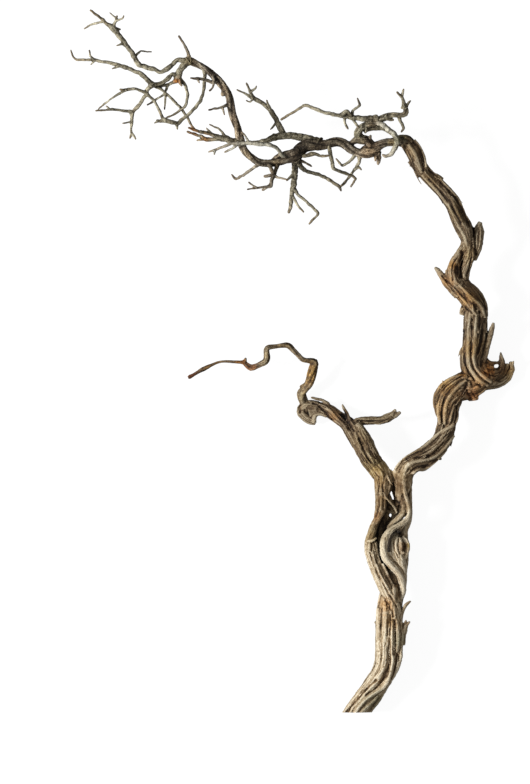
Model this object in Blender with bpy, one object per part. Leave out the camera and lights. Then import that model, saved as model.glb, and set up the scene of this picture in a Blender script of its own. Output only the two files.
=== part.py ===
"""Fallen tree branch: a dry, twisted branch of a desert shrub, lying on its side.

The branch lies on the plane Z = 0 with its sawn end at -Y and its twigs at +Y. Routes are
written in millimetres as seen from above: x to the right, y towards the twigs, z up from
the plane. Wood strands of a limb are fused into one skin, twigs are fused to what they
grow from, and thin saw cuts part the branch at its forks.
"""
import math

import bmesh
import bpy
import numpy as np
from mathutils import Vector
from mathutils.bvhtree import BVHTree

# Driving dimensions, in millimetres
BRANCH_LENGTH = 305.4      # along Y, sawn end to highest twig
DRAWN_LENGTH = 305.4       # length at which the routes below are drawn
SAWN_END_Y = -152.7        # plane of the sawn end
FORK_GAP = 0.32            # gap that parts two neighbouring pieces
MARK_AHEAD = 1.5           # how far past its saw cut a piece is told from its neighbours
STRAND_VOXEL = 0.7         # grain of the skin that fuses the strands of the limbs
LIMB_TRIANGLES = 2700      # faces kept for the fused limbs
TWIG_RING_SIDES = ((2.6, 6), (1.5, 5), (0.75, 4), (0.0, 3))   # from this diameter, this many sides

MM = 0.001 * BRANCH_LENGTH / DRAWN_LENGTH

# Limbs: centre line x, y, z and overall diameter; strands wind round each of them
LIMBS = {
    "lower_trunk": [
        (24.4, -157, 5, 10.8), (27.1, -152.7, 5.1, 10.8), (31.4, -146.5, 5.8, 11),
        (33.6, -143.5, 6.3, 10.8), (36.3, -139.5, 7, 10.8), (38.6, -136, 7.6, 10.8),
        (40.4, -131, 8.3, 10.9), (41.1, -125.5, 9, 11.7), (41.6, -120, 9.6, 12.7),
        (41.4, -116, 10, 12.3), (41, -112, 10.4, 11.1), (41.2, -106, 11, 9.9), (42, -101, 11, 9),
        (42.4, -97, 10.6, 7)],
    "left_limb": [
        (39.5, -57, 12, 5), (39.3, -52, 12.8, 8), (38, -48.5, 12.8, 9.2), (35.8, -45.3, 12.3, 9),
        (33, -42, 11.5, 9.1), (30.5, -37.8, 10.4, 9.1), (28, -33.5, 9.4, 8.9), (26, -29.8, 8.2, 8.9),
        (22.8, -26.4, 6.8, 7.2), (19, -23.8, 5.6, 6.6), (15.5, -21.2, 4.6, 6.2), (12.5, -20, 3.8, 5.8),
        (9.5, -19.6, 3.4, 5.6), (6.5, -19.6, 3, 5.4)],
    "right_limb": [
        (46, -60, 11.6, 4.6), (47.2, -55, 12.5, 7.6), (47.3, -51, 13, 9), (48.5, -47, 13.3, 9.5),
        (52.5, -43.5, 13.3, 10), (57.5, -41, 12.8, 9.8), (62, -37, 12, 9.5), (65, -33, 11.2, 9),
        (66.3, -29, 10.6, 8.6), (67, -25, 10.2, 9.6), (66.5, -21, 9.8, 11), (67, -16, 9.4, 12.6),
        (71, -11, 9, 12.4), (76, -9, 8.6, 11.5)],
    "upper_limb": [
        (70, -12, 8.8, 10), (76, -10, 8.4, 11.6), (80, -6.5, 8, 12), (78, -2, 8.2, 11.4),
        (77.3, 2, 8.6, 11.2), (78, 6, 9, 11.2), (78.6, 10, 9.4, 10.9), (78.8, 14, 9.8, 10.6),
        (78.7, 18, 10.4, 10.8), (79, 21, 11, 10.8), (79, 24, 11.6, 10.4), (77.4, 27.4, 12.4, 10.2),
        (74.8, 30.5, 13, 9.8), (72.6, 33.4, 13.6, 8.4)],
    "shoulder": [
        (75.6, 50.5, 14.8, 5.4), (75.2, 54.5, 15.6, 6.6), (74, 58.6, 16.2, 8), (71.9, 62.8, 17, 7.9),
        (70, 66.5, 17.8, 7.6), (67.9, 70.5, 18.6, 7.4), (65.6, 74, 19.4, 7.1), (62.7, 77.2, 20.1, 7.1),
        (59.8, 79.9, 20.8, 7.1), (57, 82.4, 21.4, 7), (54.5, 86, 22, 6.7), (53, 89.5, 22.4, 7.2),
        (51, 93, 22.8, 7), (48.8, 95.6, 23, 6.2), (47.2, 96.4, 23.3, 5.4)],
}

# How the strands wind round each limb: number, whole turns, strand width as a share of the
# limb's diameter, and the width of the core inside them
WINDING = {
    "lower_trunk": (9, 0.25, 0.24, 0.86),
    "left_limb": (8, 0.35, 0.26, 0.86),
    "right_limb": (8, 0.60, 0.27, 0.86),
    "upper_limb": (9, 0.35, 0.25, 0.86),
    "shoulder": (7, 0.35, 0.30, 0.86),
}

# Single strands, lumps, stubs and splinters of the limbs: x, y, z, diameter
STRANDS = {
    "left_strand": [
        (38, -48, 13, 6.4), (37.8, -53, 13, 6), (38, -58, 13, 5.8), (37.9, -62, 12.8, 5.4),
        (37, -66, 12.5, 4.4), (35.2, -70, 12.2, 3.7), (33.7, -74.5, 12.2, 3.8), (32.9, -79, 12.2, 4.4),
        (33.2, -83, 12.4, 4.8), (34.4, -87.5, 12.8, 5), (36.3, -92, 13.2, 5.2), (38.8, -97, 13.4, 5.4),
        (41.6, -101.8, 13.2, 5.4), (43.9, -106.6, 12.6, 4.8), (45, -112, 12.3, 4.2),
        (45.4, -118, 12, 3.8), (45.6, -124, 11.6, 3.6), (45.2, -130, 10.8, 3.4),
        (43.8, -135.5, 10, 3.4), (41.6, -140, 9, 3.4)],
    "brown_strand": [
        (35.3, -78, 12.4, 1.6), (36, -83, 12.6, 2), (37.4, -87.5, 13, 2), (39.4, -92, 13.2, 2),
        (41.6, -96.6, 13, 1.8), (43.8, -101.5, 12.6, 1.6), (45, -104.5, 12, 1.4)],
    "thin_strand": [
        (38.6, -87.5, 14.4, 1), (40.6, -91.8, 13.8, 1), (42.4, -96, 13.6, 1), (44.2, -100.3, 13.2, 1),
        (45.6, -103.6, 12.4, 1)],
    "cross_stub": [
        (31.9, -77.9, 13.6, 1.3), (34, -77.6, 14.5, 1.4), (35.9, -76.3, 14.4, 0.9)],
    "ribbon": [
        (47.2, -47, 16.4, 1.8), (47.4, -51, 16.4, 1.7), (48, -56, 16, 1.8), (49.2, -60, 15.2, 1.9),
        (50, -63, 14.4, 1.9), (49.9, -66, 14.2, 2), (48.6, -68.6, 14.8, 2.2), (46, -70.6, 15.6, 2.5),
        (43, -72.2, 16, 2.9), (40.7, -74.4, 16.2, 3.3), (39.2, -77.4, 16.2, 3.6), (38.8, -80.5, 16.2, 3.7),
        (39.2, -83.6, 16.1, 3.6), (40.5, -86.4, 15.9, 3.4), (42.4, -88.6, 15.5, 3.2),
        (44.6, -90.9, 14.8, 3.1), (46.3, -93.6, 14, 3.1), (47.3, -97, 13, 2.9), (47.5, -100, 12.2, 2.5),
        (46.8, -103, 11.6, 1.9)],
    "inner_strand": [
        (45, -47, 13.4, 5), (45.4, -52, 13.4, 4.2), (46.5, -57, 13, 3.8), (47.6, -61, 12.6, 3.6),
        (47.6, -64.6, 12.4, 3.4), (45.9, -67.6, 12.6, 3), (43, -70, 12.8, 2.6), (40.8, -72.8, 13, 2.4)],
    "right_edge": [
        (50, -49, 12.4, 3.4), (50.2, -55, 11.8, 2.8), (50.3, -61, 11.4, 2.6), (50.1, -66, 11.2, 2.8),
        (49.4, -70, 11, 3), (48, -74, 10.6, 3.4), (47.4, -79, 10, 5), (47.2, -85, 10, 5.4),
        (46.6, -91, 10, 5.2), (46.4, -97, 10, 4.8), (45.4, -102, 10, 5), (44.2, -107, 10.2, 6)],
    "back_left": [
        (41.5, -50, 10, 4.4), (40, -55, 9.2, 3.6), (39.2, -60, 8.6, 3.6), (38.7, -65, 8.2, 4.6),
        (38.4, -69, 8, 4.9), (37.2, -75, 8, 5.2), (37, -81, 8.2, 5.8), (38.4, -88, 8.6, 6.2),
        (40.5, -95, 9, 6.4), (42, -102, 9.6, 7)],
    "back_right": [
        (46.5, -52, 9.6, 4.8), (45.8, -58, 9, 4.4), (45, -63, 8.6, 4.4), (44.4, -67.5, 8.4, 4.2),
        (42.6, -71.5, 8.4, 5), (41.5, -77, 8.4, 6.2), (42, -84, 8.8, 6.8), (43, -91, 9, 6.8),
        (44, -98, 9.4, 6.6)],
    "left_shoulder": [
        (27.2, -26.6, 11.4, 3.4), (29.6, -30.6, 11.8, 5), (31.5, -34.4, 11.6, 5.6),
        (33.2, -38, 11.8, 5.6), (35.2, -41.6, 12, 5.2), (37.8, -45.4, 12.4, 4.8), (40, -48.8, 12.6, 4)],
    "gap_left": [(40.6, -61.4, 9.6, 1.6), (40.6, -65, 9.4, 1.7), (40.8, -69, 9, 1.8)],
    "gap_right": [(43.3, -62.4, 9.6, 1.5), (43.2, -66, 9.3, 1.6), (42.6, -69.6, 9, 1.8)],
    "gap_over": [(40, -64.6, 9.4, 2), (43.6, -65.2, 9.4, 2)],
    "gap_fill": [(44.8, -69.4, 9, 3), (45.9, -72.4, 9, 3.6), (46.4, -76, 9.2, 3.4)],
    "web": [
        (39.5, -52, 11.4, 4), (40, -56, 10.8, 2.9), (41.1, -59, 10.2, 2.7), (42.5, -61.6, 9.8, 2.7),
        (43.8, -64.4, 9.4, 2.6)],
    "inner_dark": [
        (43.6, -50, 11.6, 3), (43.8, -55.5, 11, 2.8), (44.6, -58.8, 10.4, 2.6), (45.3, -62, 10, 3)],
    "low_bridge": [
        (38.5, -59.5, 9.6, 3), (41, -62, 9.2, 3.4), (43.5, -64.6, 9, 3)],
    "thin_bridge": [
        (38.4, -57.6, 15.6, 1), (40.4, -59.4, 15.8, 1), (42.2, -61.4, 15.4, 1.1),
        (43.8, -63.4, 14.8, 1.1), (44.8, -65.6, 14, 1)],
    "knot_left": [
        (44.6, -74.6, 11.4, 3), (44, -77, 12.6, 4.4), (43.9, -79.6, 13.2, 5), (44.4, -82.8, 13.3, 5.4),
        (45.6, -86, 12.9, 5.8), (46.7, -89.4, 12.2, 5.2), (47, -93.6, 11.4, 4.2), (46.8, -98.4, 10.9, 3.9),
        (45.8, -103, 10.5, 3.8)],
    "knot_ring": [
        (45.7, -76.4, 13.6, 1.8), (46.6, -78.6, 14.4, 1.4), (46.5, -81, 14.6, 1.4), (47.3, -83.4, 14.2, 1.8)],
    "knot_rim": [
        (47, -76, 12.2, 1.8), (48.9, -78, 12.4, 2.3), (49.5, -80.4, 12.2, 2.3), (48.9, -83, 12.6, 2.4),
        (48, -85.4, 12.8, 2.6)],
    "cheek": [
        (41.4, -82.6, 15, 1.5), (42.9, -85.4, 15, 1.7), (45.1, -87.8, 14.5, 1.7), (47.4, -90.2, 13.4, 1.7),
        (48.3, -93.6, 12.2, 1.4)],
    "stub": [
        (46, -114, 11, 2.4), (46.8, -110.6, 11.6, 1.5), (47.5, -107.8, 12.2, 1.6),
        (48.7, -105.6, 12.8, 1.8), (50, -104.6, 13.4, 1.4), (50.8, -103.9, 13.6, 0.9)],
    "thick_stub": [
        (46.4, -123, 10.4, 4), (47, -118.8, 11, 3.8), (48, -115.6, 11.6, 3.2), (49, -113.8, 12.2, 2)],
    "stub_teeth": [
        (47.6, -115, 12.2, 1.7), (48.8, -112.2, 12.8, 0.9)],
    "stub_tooth": [
        (48.8, -114.6, 12.2, 1.7), (50.4, -112.8, 12.8, 0.9)],
    "left_nub": [
        (36.4, -114.4, 10.6, 2), (35, -112.9, 10.9, 0.9)],
    "knot_lump": [
        (72, -12, 8, 9), (76, -12.8, 7.6, 7.4), (77.8, -14.6, 7.4, 6.4), (78.2, -16.5, 7.2, 4.4)],
    "side_bump": [
        (60.2, -36, 12.6, 4.6), (57.9, -34.7, 12.8, 2.2)],
    "edge_flake": [
        (61.5, -41, 11.6, 3), (64.3, -42.2, 11.8, 1)],
    "hook": [
        (80, -9, 7, 8.6), (83.5, -8.6, 5, 7.2), (86.8, -8.6, 3.2, 5.8), (90, -8, 2.4, 5),
        (93, -6, 2.8, 4.4), (94.8, -3.4, 3.4, 3.8), (95.2, -1.2, 4, 2.8), (94.9, 0.4, 4.6, 1.4)],
    "hook_inner": [
        (88.5, -6.6, 4, 2.8), (90.8, -4.6, 4.8, 2.2), (92.2, -2.6, 5.2, 1.8), (93.2, -0.4, 5.4, 1.1)],
    "hook_teeth": [
        (95, -2, 4.4, 1.8), (95.8, 0.9, 5.2, 0.7)],
    "burl_shard": [
        (84, -5.4, 6.4, 6.4), (87, -4.8, 5.6, 5.6), (89.6, -3.8, 5.4, 4), (90.6, -1.8, 5.6, 3.2),
        (90.6, 0.6, 6, 3), (90.2, 2.8, 6.2, 1.9), (90.1, 4.7, 6.4, 0.7)],
    "burl_base": [(75, -7, 6.2, 8.4), (79, -7.6, 6, 8.6), (83, -8, 4.8, 7)],
    "burl_fill": [
        (81.5, -1, 8, 5.4), (84.5, -1.8, 7, 4), (87, -1.7, 6, 2.4)],
    "burl_loop": [
        (81.6, 4, 9, 2.8), (83, 1.6, 8.4, 2.6), (85, 0, 7.6, 2.2), (87.2, -0.1, 6.6, 1.6),
        (89.4, 0, 6.2, 1.4)],
    "flat_spur": [
        (82, 0.5, 9, 3.4), (83.3, 4, 9.6, 3.2), (84.4, 8, 10.2, 2.9), (85.4, 12, 10.8, 2.7),
        (86.3, 15.4, 11.4, 2.2), (86.9, 17.5, 11.8, 1.2)],
    "spur_shard": [
        (81.4, 7, 11.6, 2.2), (82.2, 11, 12, 2), (82.6, 14.6, 12.4, 1.4), (82.5, 17.2, 12.8, 0.7)],
    "limb_knob": [
        (75.6, 25, 12, 4.6), (73.8, 23, 12, 3.8), (73.2, 20.8, 11.6, 2.6)],
    "left_splinter": [
        (72, 30, 13.2, 5.6), (69.4, 32.6, 13.8, 5.2), (67, 34.9, 14.2, 4.5), (65.2, 36.9, 14.6, 3.7),
        (63.6, 38.9, 15, 2.9), (62.3, 40.5, 15.4, 2.2), (61.1, 41.5, 15.8, 1)],
    "small_splinter": [
        (67.2, 35.5, 15, 2), (66.4, 38, 15.6, 1.4), (66, 40.5, 16.2, 0.7)],
    "crossing_right": [
        (75.4, 29.5, 12.8, 7.4), (73.9, 33.5, 13.2, 6.6), (73.5, 36.8, 13.4, 5.2), (74.4, 40.2, 14, 4.9),
        (75.4, 43.6, 14.2, 5), (76.3, 47, 14.6, 5.6), (76.2, 51, 15, 5.8), (75.6, 54, 15.2, 6.4)],
    "crossing_left": [
        (73.5, 30.5, 13.6, 7.4), (70.8, 34.5, 14.6, 6.6), (69.4, 38, 15.2, 5.8), (69.3, 41.5, 15.4, 5.2),
        (70.4, 44.6, 15.6, 4.6), (72.2, 47.6, 15.8, 4.2), (73.9, 50.5, 16, 3.8), (74.6, 54, 16.4, 3.6)],
    "crossing_fill": [
        (72, 35, 12.4, 5), (72, 41, 12.6, 4.6), (73.6, 47, 13.2, 4.6)],
    "shoulder_stub": [
        (77.6, 45, 13.6, 4), (79, 48.5, 13.8, 4.4), (79.9, 52, 14.2, 4.8), (80.3, 56, 14.6, 4.9),
        (80.5, 59, 15, 4), (81.1, 61.4, 15.3, 1.9)],
    "step": [
        (63.5, 78.6, 21.2, 5), (60.6, 81.3, 21.6, 4)],
    "shoulder_sliver": [
        (52.6, 83.6, 22, 1.8), (53.6, 80.4, 22.2, 0.8), (55.3, 77.5, 22.6, 0.6)],
    "knob": [
        (10.5, -19.4, 3.4, 5.4), (7, -19, 3, 5.6), (4, -19.4, 2.5, 5.2), (3.2, -21.4, 2.2, 4.5),
        (4.8, -23.5, 2.2, 4.4), (7.4, -24.9, 2.4, 4.4), (9.4, -25.2, 2.8, 3.8)],
    "knob_hook": [
        (14, -22.8, 4.4, 2.8), (11.6, -22.3, 5.2, 2.2), (9.6, -22.6, 5.2, 2), (8.8, -24, 4.8, 2),
        (8.5, -26, 3.6, 2.4)],
    "knob_fill": [
        (10, -20.4, 3.6, 5.6), (6.4, -21.4, 3.2, 5.4)],
    "slant_spur": [
        (25, -27.8, 9, 3), (24, -24.8, 9.6, 2.1), (22.8, -22, 10.6, 1.8), (21.6, -19.8, 11.6, 1.5),
        (20.9, -18.2, 12.2, 1)],
    "sliver": [
        (15, -18.4, 4.8, 2.2), (12.4, -16.4, 5.4, 1.3), (9.6, -15.8, 5.8, 1.3), (7.2, -15.1, 6.4, 0.9)],
    "broken_branch": [
        (26, -28.5, 8.4, 5), (27, -26.4, 8.9, 4.4), (29.4, -25.5, 9.4, 4.1), (33, -25.4, 10.2, 4.1),
        (37, -25.2, 11, 4), (40.4, -24.2, 12, 4.1), (42.6, -22.7, 12.8, 3), (44.2, -20.3, 13.4, 1)],
    "broken_tip": [
        (41.2, -24.2, 12.2, 3.2), (44, -22.9, 12.6, 2.4), (46.4, -21.5, 13, 1.2)],
}

# Twigs: name, what each grows from, rise over its base at even steps along it, and its route
# as x, y with a diameter where it changes
TWIGS = [
    ("left_twig", "knob", (0, 4, 7, 10, 11, 8, 6, 4, 3), [
        (4.5, -18, 4.15), (3.6, -15.6, 4.39), (3.2, -13.4, 4.64), (4.8, -11, 4.15), (6.6, -8.4, 4.15),
        (7.6, -5, 4.15), (8.5, -1.6, 4.03), (8.8, 0.2, 3.66), (6.6, 0.9, 2.81), (3.6, 1.4, 2.68),
        (1.6, 3.2, 2.56), (-0.4, 5.2, 2.56), (-2.6, 7.4, 2.81), (-5.5, 7.5, 2.44), (-9, 7, 2.44),
        (-11.6, 6.4, 2.81), (-12, 4.4, 2.81), (-11.8, 2.2, 3.05), (-12.6, 0.4, 3.05),
        (-14.6, -0.6, 2.81), (-16.8, -1.6, 2.93), (-18.6, -2.2, 3.29), (-20.4, -1.3, 2.93),
        (-22, -0.1, 2.2), (-24, 0.2, 1.71), (-27, 0.4, 1.46), (-30, 0.6, 1.34), (-33, 0.2, 1.34),
        (-35.5, -0.8, 1.59), (-38, -2, 2.2), (-40, -2.9, 2.2), (-42, -4, 1.71), (-44, -5.2, 1.59),
        (-45.6, -6.1, 1.95), (-46.4, -6.5, 1.46)]),
    ("left_twig_spur", "left_twig", (0, 1.2), [(-21.8, 0.2, 1.5), (-21.2, 2.1, 0.9)]),
    ("left_twig_stub", "left_twig", (0, -1.5), [(4.8, -10.2, 1.8), (2.3, -10.4, 1.2)]),
    ("crown", None, (22.9, 23.7, 24.9, 25.9, 27, 28.6, 30.5, 32.3, 33, 33.6, 34.3, 35), [
        (50.5, 94.5, 5.4), (48.8, 96.2, 5.8), (46, 96.5, 5.6), (43, 96.1, 4.6), (40, 95.7, 4.2),
        (37, 94.5, 4.4), (34, 92.5, 5.6), (31.5, 91.8, 6.2), (29, 91.3, 4.8), (26.5, 91.8, 4.2),
        (24, 92.9, 4.9), (22, 94.6, 4.4), (19.8, 95.7, 4.3), (17, 95.8, 4.5), (14, 95, 4.9),
        (11, 94.4, 5.5), (8, 94.2, 5.7), (5, 94, 5.6), (2.5, 92.4, 6), (0.3, 90.2, 6.8),
        (-2.5, 88.8, 5.6), (-6, 87.6, 4.6), (-9, 86.8, 3.9), (-12, 86.6, 3.8), (-15, 86.8, 3.8),
        (-18, 88.2, 3.8), (-20.8, 91, 3.6), (-22.6, 94.2, 3.7), (-23.9, 98, 4), (-25, 102, 3.8),
        (-26.2, 106, 3.7), (-27.2, 110, 3.7), (-28, 114, 4), (-29.3, 117.4, 4.2), (-31.3, 120.6, 4),
        (-34.8, 124.4, 3.6), (-38.5, 127.4, 3.4), (-42, 129.5, 3.5), (-45.8, 131.2, 3.8)]),
    ("crown_ridge", "crown", (1.5, 2, 1.4), [
        (1.5, 92.2, 2.25), (-3, 91, 2), (-6.5, 90.1, 1.9), (-9.8, 87.6, 1.9)]),
    ("crown_lump", "crown", (0, 0.7, 0.9, 1, 0.9, 0.8), [
        (33.5, 93.8, 4.6), (31.8, 96.4, 4.2), (29.3, 97, 4.6), (27, 97, 4.4), (25, 95.6, 2.8),
        (23.2, 94.4, 2.6)]),
    ("crown_nub", "crown_lump", (0, 1), [(32.4, 96.8, 1.6), (33.2, 99, 1)]),
    ("hanging_stub", "crown", (0, -2, -3), [(35.6, 93, 2.8), (36.9, 89, 1.7), (36.4, 86, 1)]),
    ("hanging_stub_short", "crown", (0, -1), [(35, 91.4, 1.6), (35.5, 87.6, 1)]),
    ("elbow_stub", "crown", (0, 1), [(-30, 118.4, 2.25), (-31.4, 115.9, 1.65)]),
    ("elbow_twig", "crown", (0, 3, 5), [
        (-28, 112.4, 1.4), (-31, 111.1, 1.1), (-33.5, 110.3), (-37.5, 109.5, 0.75)]),
    ("elbow_twig_fork", "elbow_twig", (0, 2), [(-31.4, 110.8, 0.85), (-30.3, 107.2, 0.6)]),
    ("inner_spur", "crown", (0, 3, 6), [
        (-33.2, 122.5, 1.9), (-35.5, 121.5, 1.4), (-38, 122.3), (-42.5, 123.2), (-45.2, 123.3, 0.85)]),
    ("inner_spur_hook", "inner_spur", (0, 1.5), [(-42, 123.1, 0.85), (-41.2, 121, 0.75)]),
    ("inner_spur_strand", "crown", (0, 3, 4), [
        (-35.6, 125.4, 1.5), (-35, 121.3, 1), (-35.3, 119.4), (-37, 117.5, 0.75)]),
    ("top_spur", "crown", (0, 3, 5), [(-45.4, 131.2, 1.75), (-47, 136.5, 1.1), (-50.3, 141.8, 0.85)]),
    ("outer_twig", "crown", (0, 1, 3, 6, 9, 13, 17), [
        (-45, 131.4, 2.25), (-48.5, 131.3, 1.75), (-50.8, 131.3), (-52.5, 129.8), (-55, 127.6),
        (-57, 126.3), (-58.5, 125.9), (-60, 126.8), (-64, 128), (-66.8, 128.8, 1.75),
        (-68.5, 130.5), (-70.5, 134.2), (-73, 137.5, 1.9), (-75.5, 141), (-78.2, 144.2, 2.15),
        (-79, 145.2, 2.25), (-81, 146.3, 1.65), (-83, 148.3, 1.25), (-86, 150.6, 1),
        (-88.6, 152.6, 0.75)]),
    ("outer_twig_a", "outer_twig", (0, -1, -3), [
        (-82.4, 147.6, 1), (-87.5, 146.5, 0.85), (-91.4, 144.5, 0.75)]),
    ("outer_twig_b", "outer_twig", (0, 2, 3), [
        (-78.7, 145, 1.5), (-77.5, 147.5, 1), (-76.7, 150.3, 0.75)]),
    ("outer_twig_c", "outer_twig_b", (0, 1, 2), [
        (-77.4, 147.8, 0.85), (-74.5, 148.8, 0.75), (-73.7, 150.3, 0.6)]),
    ("outer_twig_d", "outer_twig", (0, -2), [(-78.2, 145, 1.1), (-75.3, 144.1, 0.75)]),
    ("outer_twig_e", "outer_twig", (0, 2), [(-73.6, 138.3, 1), (-77.2, 137.2, 0.6)]),
    ("outer_twig_f", "outer_twig", (0, -2, -3, -4), [
        (-69.2, 132.6, 1), (-66.6, 135.2, 0.75), (-64, 134.7), (-61.7, 134.7, 0.6)]),
    ("outer_twig_g", "outer_twig_b", (0, 1), [(-77.2, 149, 0.75), (-80.3, 151.4, 0.6)]),
    ("knob_twig", "crown", (0, -1, -2), [
        (-45.6, 131, 2.5), (-48.5, 128.5, 2.25), (-49.8, 126.5, 2.25), (-50.6, 124.5, 2.5),
        (-51.2, 122.4, 2.75)]),
    ("knob_band", "knob_twig", (0, 1.5, 3), [
        (-50.6, 124.6, 2), (-53, 125, 1.65), (-55, 123, 1.65), (-58, 121, 1.65),
        (-60.5, 120.5, 1.75), (-62.6, 120.2, 1.9)]),
    ("knob_band_low", "knob_twig", (0, -1, 2), [
        (-51, 122.6, 1.75), (-54.5, 120.8, 1.1), (-58, 119.9, 1.1), (-61.5, 120.1, 1.1)]),
    ("knob_stub", "knob_twig", (0, 1), [(-50.4, 123.5, 1.4), (-48.7, 119.9, 1)]),
    ("knob_arc", "knob_twig", (0, -1, -3, -3, -2), [
        (-50.4, 123.8, 1.5), (-48.2, 121.5, 1.25), (-47.3, 119.8), (-46.4, 116.5),
        (-46.8, 113, 1.1), (-47.5, 111.5), (-49, 110.1), (-51, 108.8), (-53, 107.6, 0.85),
        (-55.8, 106.2, 0.75)]),
    ("long_twig", "knob_band", (0, -1, -3, -5, -8), [
        (-61.6, 120.2, 2), (-63, 121.8, 1.9), (-65, 123.8), (-67, 125.5, 1.65), (-70, 126.7),
        (-73, 128, 1.65), (-76, 129), (-80, 130.2, 1.4), (-84, 130.8), (-87, 131.4, 1.1),
        (-92, 131.6), (-94.8, 131.7, 0.85), (-96.2, 133), (-97.3, 136, 0.6)]),
    ("long_twig_a", "long_twig", (0, 2, 4), [
        (-87, 131.4, 1.1), (-88.6, 133.2, 0.85), (-89, 135.6, 0.75)]),
    ("long_twig_b", "long_twig", (0, -1.5), [(-86.8, 131.3, 0.85), (-88.6, 129.2, 0.6)]),
    ("long_twig_c", "long_twig", (0, 1.5), [(-76, 129, 1), (-79.2, 127.3, 0.6)]),
    ("drooping_twig", "knob_band", (0, -1, -3, -5), [
        (-62, 120.3, 1.75), (-63.8, 118.5, 1.5), (-64.3, 116.5), (-66, 114), (-68, 111.3),
        (-69.8, 109.2), (-70.7, 108.4, 1.4)]),
    ("droop_tip", "drooping_twig", (0, -3, -6), [
        (-70.6, 108.6, 1.4), (-70.6, 105, 1.1), (-71, 101.5), (-71, 99.5, 1), (-71.6, 97.4, 0.75)]),
    ("droop_tip_fork", "droop_tip", (0, 1), [(-71, 99.8, 1), (-69.6, 98.2), (-68.8, 97, 0.6)]),
    ("droop_spur", "droop_tip", (0, 2), [(-70.6, 104.6, 0.85), (-74.8, 103.9, 0.6)]),
    ("droop_left", "drooping_twig", (0, 3, 6, 8), [
        (-70.4, 108.7, 1.25), (-73, 109.2, 1.1), (-79, 109.7, 1), (-86.5, 109.2, 0.75)]),
    ("droop_left_spur", "droop_left", (0, 2), [(-80, 109.6, 0.75), (-81.9, 111.4, 0.6)]),
    ("droop_high", "drooping_twig", (0, 3, 5), [
        (-64.2, 116.9, 1.4), (-67.5, 118.2, 1.25), (-69.5, 118.8), (-73.5, 118.3, 1.1),
        (-76, 118.4, 0.85)]),
    ("droop_high_low", "droop_high", (0, 0, -2, -4), [
        (-73, 118.3, 1), (-77.5, 115.6, 0.85), (-82, 112.7, 0.75), (-84.8, 110.3),
        (-85.5, 109.2, 0.6)]),
    ("droop_inner", "drooping_twig", (0, -3, -5), [
        (-64.1, 116.5, 1.25), (-61, 113.7, 1.1), (-59.8, 111.8), (-58.5, 109, 1.25),
        (-56.8, 105.2, 1.4)]),
    ("cross_twig", "knob_band_low", (0, -3, -6, -8), [
        (-60.5, 120.1, 1.25), (-57.5, 118.3, 1.1), (-54, 115.3), (-51, 112.2), (-49, 110.1),
        (-46.8, 106.8), (-45.5, 104.5, 1), (-44.3, 102.5), (-42.5, 100.4, 0.85)]),
    ("cross_twig_a", "knob_band_low", (0, -2, -3), [
        (-55, 120.6, 1), (-56.2, 117.2, 1), (-58.5, 115.2), (-64.2, 111.8, 0.75)]),
    ("cross_twig_b", "cross_twig", (0, -3), [(-56, 117, 0.85), (-56.2, 112.6), (-56.4, 109.7, 0.75)]),
    ("hanging_twig", "crown", (0, 0.3, 2, 2, 3, 4), [
        (-39, 128, 2), (-39, 124.5, 1.4), (-39.4, 119, 1.25), (-39.9, 116), (-41, 113.5),
        (-42.8, 111), (-45, 108.5, 1.25), (-47.8, 106.2), (-49.8, 104.5), (-51, 103.7, 1.4),
        (-54, 104.4, 1.65), (-56.5, 105, 2), (-58.5, 104.8, 1.25), (-60, 105.1, 1)]),
    ("hanging_twig_fork", "hanging_twig", (0, 1), [(-58.8, 104.8, 0.85), (-61, 103.7, 0.6)]),
    ("hanging_twig_spur", "hanging_twig", (0, -2), [(-51.2, 103.8, 1.1), (-50.7, 101, 0.6)]),
    ("claw_twig", "crown", (0, 1, 2), [
        (-23.4, 95.8, 2.75), (-27, 96, 2.25), (-29.5, 97, 2.5), (-31.7, 97.5, 2)]),
    ("claw_upper", "claw_twig", (0, 4, 7), [
        (-31, 97.4, 2), (-34, 98.3, 1.5), (-36.5, 99.2), (-41, 100.2, 1.25), (-46.2, 101.8, 0.85)]),
    ("claw_lower", "claw_twig", (0, -1, -2), [
        (-31, 97.3, 1.75), (-36, 97, 1.5), (-38.8, 97, 1.75), (-41, 98.4, 1.25),
        (-46.8, 100.4, 0.85)]),
    ("claw_spur", "claw_lower", (0, -1), [(-39, 97.2, 1.1), (-42.5, 96.4, 0.75)]),
    ("claw_top", "claw_twig", (0, 3, 5), [
        (-29.4, 97.2, 1.25), (-31.5, 100.2, 0.85), (-34, 102), (-37, 103.3, 0.6)]),
    ("claw_top_b", "claw_upper", (0, 2), [(-36, 99.2, 1), (-38.2, 101.9, 0.6)]),
    ("pale_twig", "crown", (0, 6, 8, 8, 8, 7), [
        (-4, 88.6, 1.7), (-6.5, 91.5, 1.4), (-7.8, 93.2), (-9.8, 94.1), (-12, 94.5, 1.49),
        (-15, 94.8), (-19, 95.2, 1.7), (-22, 95), (-25, 95, 1.49), (-27.5, 95), (-31, 93.4, 1.06),
        (-34, 92.5), (-37.5, 91.2, 0.64)]),
    ("pale_twig_spur", "pale_twig", (0, -1), [(-34.5, 92.4, 1), (-35, 90.1, 0.75)]),
    ("pale_twig_low", "pale_twig", (0, -1.5), [(-24.4, 95, 1.1), (-27, 92.9), (-30.5, 91.2, 0.75)]),
    ("pale_twig_curve", "pale_twig", (0, 3), [(-19.6, 95.2, 1), (-21.5, 98.5), (-23, 100, 0.6)]),
    ("middle_twig", "crown", (0, -3, -5, -6, -7), [
        (11, 95.4, 3.2), (6, 97.5, 2.65), (2, 98.3), (-2, 98.9, 2.75), (-6, 98.7, 2.65),
        (-9, 98, 2.5), (-12, 96.6, 2.15), (-15, 95.8, 1.9), (-18, 95.8), (-20.8, 96, 1.1)]),
    ("rising_twig", "middle_twig", (0, -2, -3, -4), [
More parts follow.
